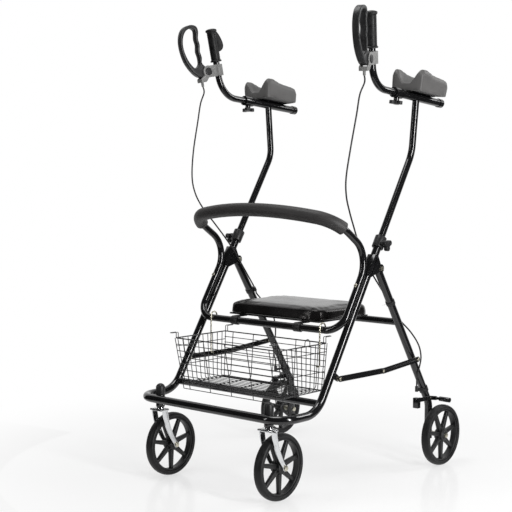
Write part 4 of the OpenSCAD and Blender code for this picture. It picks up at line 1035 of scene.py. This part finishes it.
def make_rivets(side, heads):
    """Rivet heads on the outer faces of the folding stays of one side."""
    spots = [(stay + "_rivet", stay, joint(f"{stay}_{side}_turn")["pos_m"][1:], RIVET_R)
             for stay in ("front_stay", "rear_stay")]
    spots.append(("stay_middle_rivet", "rear_stay", STAY_MIDDLE, MIDDLE_RIVET_R))
    for name, stay, (y, z), radius in spots:
        low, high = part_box(f"{stay}_{side}")
        face = outward(side) * max(abs(low.x), abs(high.x))
        point = facing_point((face, y, z), (outward(side), 0, 0))
        mesh = through(point, heads, "plain_steel", Radius=radius, Rise=RIVET_RISE)
        piece(f"{name}_{side}", mesh, "plain_steel", f"{stay}_{side}")


class WALKER_OT_brackets(Operator):
    """Brackets, folding stays, clips and their fasteners"""

    bl_idname = "walker.brackets"
    bl_label = "Brackets and stays"

    def execute(self, context):
        edge = context.scene.walker_sizes.small_edge
        dress_all(["frame_brackets", "front_stay_", "rear_stay_", "caster_sleeves"], "painted_steel", edge)
        dress_all(["frame_fasteners", "leg_fasteners"], "plain_steel", edge)
        dress_all(["cable_clips", "seat_clips", "seat_board", "leg_brackets"], "black_plastic", edge)
        heads = rivet_tree()
        for side in SIDES:
            make_rivets(side, heads)
        return {"FINISHED"}


class WALKER_OT_casters(Operator):
    """Chromed caster forks with their axles, and the caps over the stems"""

    bl_idname = "walker.casters"
    bl_label = "Casters"

    def execute(self, context):
        edge = context.scene.walker_sizes.edge
        dress_all(["caster_fork_"], "chrome", edge, steps=3)
        dress_all(["caster_axle_"], "plain_steel", edge)
        dress_all(["caster_caps"], "black_plastic", edge, steps=3)
        return {"FINISHED"}


# Wheels

def spoke_mesh():
    """One spoke from the hub down to the rim, with eased edges."""
    corners = ((-1, -1), (1, -1), (1, 1), (-1, 1))
    form = skin([[(x * thick / 2, y * wide / 2, -radius) for x, y in corners]
                 for radius, wide, thick in SPOKE_ENDS])
    bmesh.ops.bevel(form, geom=form.edges[:], offset=SPOKE_EDGE, segments=3, profile=0.5, affect="EDGES")
    soften(form)
    return to_mesh(form)


def wheel_mesh(half_hub, spokes, count):
    """Rim, hub and spokes about the origin, with the axle along X."""
    rim = rounded(mirrored(RIM_SIDE), RIM_EDGE)
    hub = rounded(mirrored([(r, half_hub - depth) for r, depth in HUB_SIDE]), HUB_EDGE)
    arms = through(spoke_mesh(), spokes, "black_plastic", Count=count)
    return joined([turned(rim, RIM_STEPS), turned(hub, HUB_STEPS), arms])


def tyre_mesh():
    """Solid tyre with a crowned tread, a groove at each shoulder and a bead line."""
    return turned(rounded(mirrored(TYRE_SIDE, [(WHEEL_R, 0.0)]), TYRE_EDGE, steps=2), TYRE_STEPS)


class WALKER_OT_wheels(Operator):
    """Spoked wheels with solid tyres"""

    bl_idname = "walker.wheels"
    bl_label = "Wheels"

    def execute(self, context):
        count = context.scene.walker_sizes.spokes
        spokes = around_tree()
        for kind, half_hub in HUB_HALVES.items():
            for side in SIDES:
                name, tyre = f"{kind}_wheel_{side}", f"{kind}_tyre_{side}"
                at = Matrix.Translation(joint(name + "_spin")["pos_m"])
                wheel = placed(wheel_mesh(half_hub, spokes, count), at)
                piece("dressed_" + name, wheel, "black_plastic", name, [name])
                piece("dressed_" + tyre, placed(tyre_mesh(), at), "tyre_rubber", name, [tyre])
        return {"FINISHED"}


# Basket

def basket_share(z):
    """How far down the basket a height is, from 0 at the rim to 1 at the lip."""
    return (BASKET_RIM_Z - z) / (BASKET_RIM_Z - BASKET_LIP_Z)


def front_y(z):
    """Y of the basket's front at a height."""
    return mix(*BASKET_FRONT_Y, basket_share(z))


def rear_y(z):
    """Y of the basket's back at a height."""
    return mix(*BASKET_REAR_Y, basket_share(z))


def half_x(z):
    """Half of the basket's width at a height."""
    return BASKET_HALF - BASKET_TAPER * basket_share(z)


def basket_levels():
    """Level wires: close rows on the front and back, a few on each side."""
    lines = []
    for i in range(1, BASKET_ROWS + 1):
        for y_at, low in ((front_y, BASKET_LIP_Z), (rear_y, BASKET_FLOOR_Z)):
            z = mix(BASKET_RIM_Z, low, i / BASKET_ROWS)
            lines.append([(-half_x(z), y_at(z), z), (half_x(z), y_at(z), z)])
    for share in BASKET_SIDE_LEVEL_SHARES:
        z = mix(BASKET_RIM_Z, BASKET_FLOOR_Z, share)
        lines += [[(s * half_x(z), front_y(z), z), (s * half_x(z), rear_y(z), z)] for s in (-1, 1)]
    return lines


def basket_hoops(step):
    """Wires that run down one wall, under the floor and up the other, outside the level wires."""
    lines = []
    top, low = BASKET_RIM_Z, BASKET_FLOOR_Z
    for j in range(BASKET_SIDE_POSTS):
        t = (j + 0.5) / BASKET_SIDE_POSTS
        y_top, y_low = mix(front_y(top), rear_y(top), t), mix(front_y(low), rear_y(low), t)
        x_top, x_low = half_x(top) + step, half_x(low) + step
        lines.append([(-x_top, y_top, top), (-x_low, y_low, low), (x_low, y_low, low), (x_top, y_top, top)])
    for j in range(BASKET_POSTS):
        x = (j - (BASKET_POSTS - 1) / 2) * BASKET_POST_STEP
        lines.append([(x, front_y(top) - step, top), (x, front_y(BASKET_LIP_Z) - step, BASKET_LIP_Z)])
        lines.append([(x, front_y(low), low + step), (x, rear_y(low) + step, low + step),
                      (x, rear_y(top) + step, top)])
    return lines


def basket_rim():
    """Rim loop."""
    z = BASKET_RIM_Z
    x, front, rear = half_x(z), front_y(z), rear_y(z)
    return [[(-x, front, z), (x, front, z), (x, rear, z), (-x, rear, z), (-x, front, z)]]


def basket_corners(step):
    """Corner uprights, the hooked loops above them and the small arch on the right rim."""
    z = BASKET_RIM_Z
    x, front, rear = half_x(z), front_y(z), rear_y(z)
    rise, reach, wide = CORNER_LOOP
    lines = []
    for s in (-1, 1):
        out, inner = s * (x - step), s * (x - step - wide)
        for y, ahead, wall, foot in ((front, -1, front_y, BASKET_LIP_Z), (rear, 1, rear_y, BASKET_FLOOR_Z)):
            far = y + ahead * reach
            lines.append([(out, y, z), (out, y, z + rise), (out, far, z + rise), (inner, far, z + rise),
                          (inner, y, z + rise), (inner, y, z)])
            lines.append([(s * x, y + ahead * step, z), (s * half_x(foot), wall(foot) + ahead * step, foot)])
    arch, (tall, half) = mix(front, rear, ARCH_SHARE), ARCH
    bends = np.linspace(0, math.pi, ARCH_STEPS)
    bow = [(half * math.cos(a), tall - half + half * math.sin(a)) for a in bends]
    lines.append([(x, arch + half, z), *((x, arch + y, z + up) for y, up in bow), (x, arch - half, z)])
    return lines


def hanger_line(sizes):
    """Rod hooked over the seat bar, down to the basket's side, with its foot turned in."""
    hook = SLIM_R + HANGER_GAP + sizes.hanger / 2
    crown = SEAT_BAR + Vector((0, 0, HANGER_LIFT))
    angles = [math.radians(a) for a in HANGER_HOOK_ANGLES]
    arc = [crown + Vector((0, hook * math.cos(a), hook * math.sin(a))) for a in angles]
    low = Vector((SEAT_BAR.x, SEAT_BAR.y - hook, HANGER_FOOT_Z))
    outer_face = half_x(HANGER_FOOT_Z) + 1.5 * sizes.wire
    return [*arc, low, Vector((outer_face + HANGER_GAP, low.y, low.z))]


class WALKER_OT_basket(Operator):
    """Wire basket with bent wires, and the rods that hang it from the seat bar"""

    bl_idname = "walker.basket"
    bl_label = "Basket"

    def execute(self, context):
        sizes = context.scene.walker_sizes
        tree = wire_tree()

        def wires(lines, slot, wide, bend, sides):
            return through(line_mesh(lines), tree, slot, Radius=wide / 2, Bend=bend, Sides=sides)

        paint, step = "painted_steel", sizes.wire
        walls = wires(basket_levels() + basket_hoops(step), paint, step, WALL_BEND, WIRE_SIDES)
        corners = wires(basket_corners(step), paint, step, LOOP_BEND, WIRE_SIDES)
        rim = wires(basket_rim(), paint, sizes.rim_wire, RIM_BEND, RIM_SIDES)
        piece("basket_wires", joined([walls, corners]), paint, "front_frame",
              ["basket_front", "basket_back", "basket_left", "basket_right", "basket_floor"])
        piece("basket_rim_wire", rim, paint, "front_frame")
        rod = hanger_line(sizes)
        rods = wires([rod, [Vector((-p.x, p.y, p.z)) for p in rod]], "plain_steel", sizes.hanger,
                     HANGER_BEND, HANGER_SIDES)
        piece("basket_hanger_rods", rods, "plain_steel", "front_frame", ["basket_hangers"])
        return {"FINISHED"}


# Seat

def pressed_out(obj, start, sizes, held):
    """Places of a cover's points after its filling presses it out; held keeps its flat underside."""
    scene = bpy.context.scene
    flat = obj.vertex_groups.new(name="underside")
    flat.add([i for i, p in enumerate(start) if p[2] < held], 1.0, "REPLACE")
    cloth = obj.modifiers.new("Cover", "CLOTH").settings
    for name, setting in COVER_CLOTH.items():
        setattr(cloth, name, setting)
    cloth.use_pressure, cloth.uniform_pressure_force = True, sizes.pressure
    cloth.effector_weights.gravity = 0
    cloth.vertex_group_mass = "underside"
    for step in range(1, SWELL_FRAMES + 1):
        scene.frame_set(step)
    graph = bpy.context.evaluated_depsgraph_get()
    moved = np.array([v.co for v in obj.evaluated_get(graph).data.vertices])
    obj.modifiers.clear()
    scene.frame_set(1)
    way = moved - start
    far = np.linalg.norm(way, axis=1, keepdims=True)
    return start + way * np.minimum(1.0, sizes.swell / np.maximum(far, 1e-9))


def swelled(mesh, sizes, held):
    """The closed mesh with an even grid, swelled by its filling."""
    obj = add_object("swelling", mesh)
    remesh = obj.modifiers.new("Even mesh", "REMESH")
    remesh.mode, remesh.voxel_size = "VOXEL", sizes.voxel
    obj.data = done = evaluated(obj)
    places = np.array([v.co for v in done.vertices])
    places = pressed_out(obj, places, sizes, held)
    done.vertices.foreach_set("co", places.astype(np.float32).ravel())
    bpy.data.objects.remove(obj)
    return done


def even_out(form, verts, factor):
    """Draws points towards their neighbours, twice."""
    for _ in range(2):
        bmesh.ops.smooth_vert(form, verts=verts, factor=factor, use_axis_x=True, use_axis_y=True,
                              use_axis_z=True)


def subdivided(mesh):
    """The mesh evened out, with one level of subdivision, smooth all over."""
    form = bmesh.new()
    form.from_mesh(mesh)
    even_out(form, form.verts, COVER_EVEN_SHARE)
    bmesh.ops.subdivide_edges(form, edges=form.edges[:], cuts=1, use_grid_fill=True,
                              smooth=COVER_SMOOTH_SHARE)
    for face in form.faces:
        face.smooth = True
    return to_mesh(form)


def welt_round(mesh, middle, radius):
    """Welt along a cushion's side at the height of its middle point, seated on its cover."""
    tree = BVHTree.FromPolygons([v.co for v in mesh.vertices], [p.vertices for p in mesh.polygons])
    outs = [Vector((math.cos(a), math.sin(a), 0)) for a in turns(WELT_STEPS)]
    hits = [tree.ray_cast(middle + out * WELT_REACH, -out)[0] for out in outs]
    path = [hit for hit in hits if hit is not None]
    rings = []
    for i, p in enumerate(path):
        ahead = (path[(i + 1) % len(path)] - path[i - 1]).normalized()
        rings.append(ring_around(p, ahead, radius, WELT_SIDES, Vector((0, 0, 1))))
    return loft(rings, closed=True)


class WALKER_OT_seat(Operator):
    """Vinyl cushion swelled by its filling, with a welted seam at its foot"""

    bl_idname = "walker.seat"
    bl_label = "Seat"

    def execute(self, context):
        sizes = context.scene.walker_sizes
        low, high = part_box("seat_cushion")
        middle = (low + high) / 2
        foot = Vector((middle.x, middle.y, low.z))
        shrink = Matrix.Translation(foot) @ Matrix.Diagonal(SEAT_SHARES) @ Matrix.Translation(-foot)
        start = placed(to_mesh(merged("seat_cushion")), shrink)
        cover = subdivided(swelled(start, sizes, low.z + SEAT_HELD))
        xs, ys, _ = zip(*(v.co for v in cover.vertices))
        centre = Vector(((min(xs) + max(xs)) / 2, (min(ys) + max(ys)) / 2, mix(low.z, high.z, WELT_SHARE)))
        welt = welt_round(cover, centre, sizes.seam / 2)
        seat = piece("seat_cover", cover, "vinyl", "seat", ["seat_cushion"])
        piece("seat_welt", welt, "vinyl", "seat")
        return {"FINISHED"}


# Backrest

def backrest_line():
    """Points along the middle of the backrest's curve, from the right end to the left."""
    root_y = (LOOP_BEND_Z - LEAN_CROSS_Z) * math.tan(LEAN) - LOOP_AHEAD / math.cos(LEAN)
    arc = BACK_REACH - BACK_CURVE_R
    corner_x = SIDE_X - BACK_CORNER_R
    corner = arc + math.sqrt((BACK_CURVE_R - BACK_CORNER_R) ** 2 - corner_x ** 2)
    half = math.atan2(corner_x, corner - arc)
    turn = math.pi / 2 - half
    flat = [(corner_x + BACK_CORNER_R * math.cos(a), corner + BACK_CORNER_R * math.sin(a))
            for a in np.linspace((1 - FOAM_TURN_SHARE) * turn, turn, FOAM_CORNER_STEPS)]
    flat += [(BACK_CURVE_R * math.sin(b), arc + BACK_CURVE_R * math.cos(b))
             for b in np.linspace(half, 0, FOAM_CURVE_STEPS)[1:]]
    line = flat + [(-x, s) for x, s in reversed(flat[:-1])]
    return [Vector((x, root_y - s * math.sin(BACK_LEAN), LOOP_BEND_Z + s * math.cos(BACK_LEAN)))
            for x, s in line]


class WALKER_OT_backrest(Operator):
    """Foam sleeve over the backrest's curve, with dished ends and an open bore"""

    bl_idname = "walker.backrest"
    bl_label = "Backrest"

    def execute(self, context):
        path = backrest_line()
        ways = ways_along(path)
        last = len(path) - 1
        up = Vector((0, math.cos(BACK_LEAN), math.sin(BACK_LEAN)))
        outer, bore = context.scene.walker_sizes.foam / 2, SLIM_R + FOAM_GAP

        def ring(i, radius, inwards=0.0):
            return ring_around(path[i] + ways[i] * inwards, ways[i], radius, FOAM_SIDES, up)

        shares = [k / FOAM_DISH_STEPS for k in range(FOAM_DISH_STEPS + 1)]
        dips = [FOAM_DISH * (1 - math.sin(math.pi / 2 * share)) for share in shares]
        rings = [ring(0, outer - dip, dip) for dip in dips]
        rings += [ring(i, outer) for i in range(2, last - 1)]
        rings += [ring(last, outer - dip, -dip) for dip in reversed(dips)]
        rings += [ring(i, bore) for i in range(last, -1, -1)]
        sleeve = piece("backrest_sleeve", loft(rings, closed=True), "foam", "front_frame", ["backrest_foam"])
        return {"FINISHED"}


# Forearm pads

def wall_share(v):
    """Height of a pad's wall at a place along it."""
    for (a, low), (b, high) in zip(PAD_WALL_SHARES, PAD_WALL_SHARES[1:]):
        if v <= b:
            return mix(low, high, ease((v - a) / (b - a)))
    return PAD_WALL_SHARES[-1][1]


def drop_share(at, start, drop):
    """How far the pad's rim has rounded off at a place, from the start of the rounding to the edge."""
    return drop * max(0.0, (abs(at) - start) / (1 - start)) ** 2


def pad_point(u, v):
    """Point on a pad's upper face; u runs across it and v along it, from -1 to 1."""
    start, run = PAD_TROUGH_SHARES
    height = mix(PAD_FLOOR_SHARE, wall_share(v), ease((abs(u) - start) / run))
    height -= drop_share(u, *PAD_LIP_SHARES) + drop_share(v, *PAD_END_SHARES)
    across, along = PAD_CORNER_SHARES
    x = u * PAD_SIZE.x / 2 * (1 - across * abs(v) ** PAD_CORNER_POWER - PAD_TAPER_SHARE * (v + 1) / 2)
    y = v * PAD_SIZE.y / 2 * (1 - along * abs(u) ** PAD_CORNER_POWER)
    return Vector((x, y, PAD_SIZE.z * height))


def pad_mesh():
    """Closed trough with rounded rims, standing on its plate."""
    n = PAD_STEPS
    form = bmesh.new()
    grid = [[form.verts.new(pad_point(2 * i / n - 1, 2 * j / n - 1)) for i in range(n + 1)]
            for j in range(n + 1)]
    for j in range(n):
        for i in range(n):
            form.faces.new((grid[j][i], grid[j][i + 1], grid[j + 1][i + 1], grid[j + 1][i]))
    edge = [grid[0][i] for i in range(n)] + [grid[j][n] for j in range(n)]
    edge += [grid[n][i] for i in range(n, 0, -1)] + [grid[j][0] for j in range(n, 0, -1)]
    above = edge
    for high, wide in PAD_SKIRT_SHARES:
        long = mix(1, wide, PAD_SKIRT_LONG_SHARE)
        ring = [form.verts.new((v.co.x * wide, v.co.y * long, v.co.z * high)) for v in edge]
        for k in range(len(edge)):
            following = (k + 1) % len(edge)
            form.faces.new((above[following], above[k], ring[k], ring[following]))
        above = ring
    form.faces.new(reversed(above))
    bmesh.ops.recalc_face_normals(form, faces=form.faces)
    even_out(form, [v for v in form.verts if v.co.z > PAD_FLAT], PAD_EVEN_SHARE)
    soften(form)
    return to_mesh(form)


class WALKER_OT_pads(Operator):
    """Forearm troughs of grey foam on the arm tubes"""

    bl_idname = "walker.pads"
    bl_label = "Forearm pads"

    def execute(self, context):
        seat = arm_place() @ Matrix.Translation((0, PAD_SIZE.y / 2 - PAD_FRONT, PAD_SEAT))
        mesh = placed(pad_mesh(), seat)
        for side in SIDES:
            pad = piece("forearm_pad_" + side, sided(mesh, side), "grey_pad", "arm_" + side,
                        ["arm_pad_" + side])
        return {"FINISHED"}


# Handles and brakes

def grip_mesh():
    """Hand grip: ribbed sleeve with flanges, a domed end and a palm fin."""
    side = [(SLIM_R + GRIP_GAP, GRIP_LOW)] + [(GRIP_R + out, GRIP_LOW + up) for out, up in GRIP_FOOT]
    for i in range(GRIP_RIBS):
        z = mix(GRIP_LOW + GRIP_RIB_ROOM, HANDLE_H - GRIP_RIB_ROOM, i / (GRIP_RIBS - 1))
        side += [(GRIP_R + out, z + up) for out, up in GRIP_RIB]
    side += [(GRIP_R + out, HANDLE_H - down) for out, down in GRIP_HEAD]
    wide, tall = GRIP_DOME
    dome = np.linspace(*GRIP_DOME_TURN, GRIP_DOME_STEPS)
    side += [(wide * math.cos(a), HANDLE_H + tall * math.sin(a)) for a in dome]
    circle = [(math.cos(a), math.sin(a)) for a in turns(GRIP_SIDES)]
    sleeve = loft([[Vector((r * x, r * y, z)) for x, y in circle] for r, z in side])
    return joined([sleeve, fin_mesh()])


def fin_mesh():
    """Palm rest on the rear inner side of the grip: a thin swelled wing."""
    rings = []
    edge = [(0, FIN_OUT * out, GRIP_LOW + GRIP_L * up) for up, out in FIN_EDGE_SHARES]
    for p in smooth_path(edge, FIN_STEPS):
        ring = []
        for a in turns(FIN_SIDES):
            share = 0.5 + 0.5 * math.cos(a)
            x = FIN_HALF * math.sin(a) * (1 - FIN_TAPER_SHARE * share)
            ring.append(Vector((x, mix(FIN_ROOT, p.y, share), p.z)))
        rings.append(ring)
    return placed(loft(rings), Matrix.Rotation(FIN_TURN, 4, "Z"))


class WALKER_OT_grips(Operator):
    """Hand grips on the upright handles"""

    bl_idname = "walker.grips"
    bl_label = "Hand grips"

    def execute(self, context):
        mesh = placed(grip_mesh(), handle_place())
        for side in SIDES:
            piece("grip_" + side, sided(mesh, side), "tyre_rubber", "handle_" + side, ["hand_grip_" + side])
        return {"FINISHED"}


def cap_mesh(sign):
    """Dark cap on one cheek of the right brake housing, over the lever's pivot."""
    turn = Matrix.Rotation(0 if sign > 0 else math.pi, 4, "Z")
    at = brake_place() @ Matrix.Translation((sign * CHEEK_OUT, -PIVOT_OUT, 0)) @ turn
    return placed(turned(rounded(CAP_OUTLINE, CAP_EDGE), CAP_STEPS), at)


class WALKER_OT_brakes(Operator):
    """Loop levers, their grey housings with dark pivot caps, and the rear brake arms"""

    bl_idname = "walker.brakes"
    bl_label = "Brakes"

    def execute(self, context):
        dress_all(["brake_lever_"], "black_plastic", LEVER_EDGE, steps=3)
        dress_all(["brake_housing_"], "grey_plastic", HOUSING_EDGE)
        dress_all(["brake_arm_"], "painted_steel", context.scene.walker_sizes.edge)
        for side in SIDES:
            caps = sided(joined([cap_mesh(-1), cap_mesh(1)]), side)
            piece("pivot_caps_" + side, caps, "black_plastic", "handle_" + side)
        return {"FINISHED"}


class WALKER_OT_knobs(Operator):
    """Clamp collars and the knobs that tighten them"""

    bl_idname = "walker.knobs"
    bl_label = "Collars and knobs"

    def execute(self, context):
        edge = context.scene.walker_sizes.edge
        dress_all(["post_collars", "post_knob_", "reach_knob_"], "black_plastic", edge, steps=3)
        return {"FINISHED"}


# Panel and registration

OPERATORS = (
    WALKER_OT_stage, WALKER_OT_cables, WALKER_OT_tubes, WALKER_OT_brackets, WALKER_OT_casters,
    WALKER_OT_wheels, WALKER_OT_basket, WALKER_OT_seat, WALKER_OT_backrest, WALKER_OT_pads,
    WALKER_OT_grips, WALKER_OT_brakes, WALKER_OT_knobs,
)


class WALKER_PT_panel(Panel):
    """Lists the walker's pieces in the sidebar"""

    bl_label = "Upright walker"
    bl_space_type = "VIEW_3D"
    bl_region_type = "UI"
    bl_category = "Walker"

    def draw(self, context):
        for operator in OPERATORS:
            self.layout.operator(operator.bl_idname)


CLASSES = (WalkerSizes, WalkerColours, *OPERATORS, WALKER_PT_panel)


def register():
    for item in CLASSES:
        bpy.utils.register_class(item)
    bpy.types.Scene.walker_sizes = PointerProperty(type=WalkerSizes)
    bpy.types.Scene.walker_colours = PointerProperty(type=WalkerColours)


def unregister():
    del bpy.types.Scene.walker_colours
    del bpy.types.Scene.walker_sizes
    for item in reversed(CLASSES):
        bpy.utils.unregister_class(item)


def main():
    """Makes every piece in order."""
    register()
    for operator in OPERATORS:
        group, name = operator.bl_idname.split(".")
        getattr(getattr(bpy.ops, group), name)()


if __name__ == "__main__":
    main()
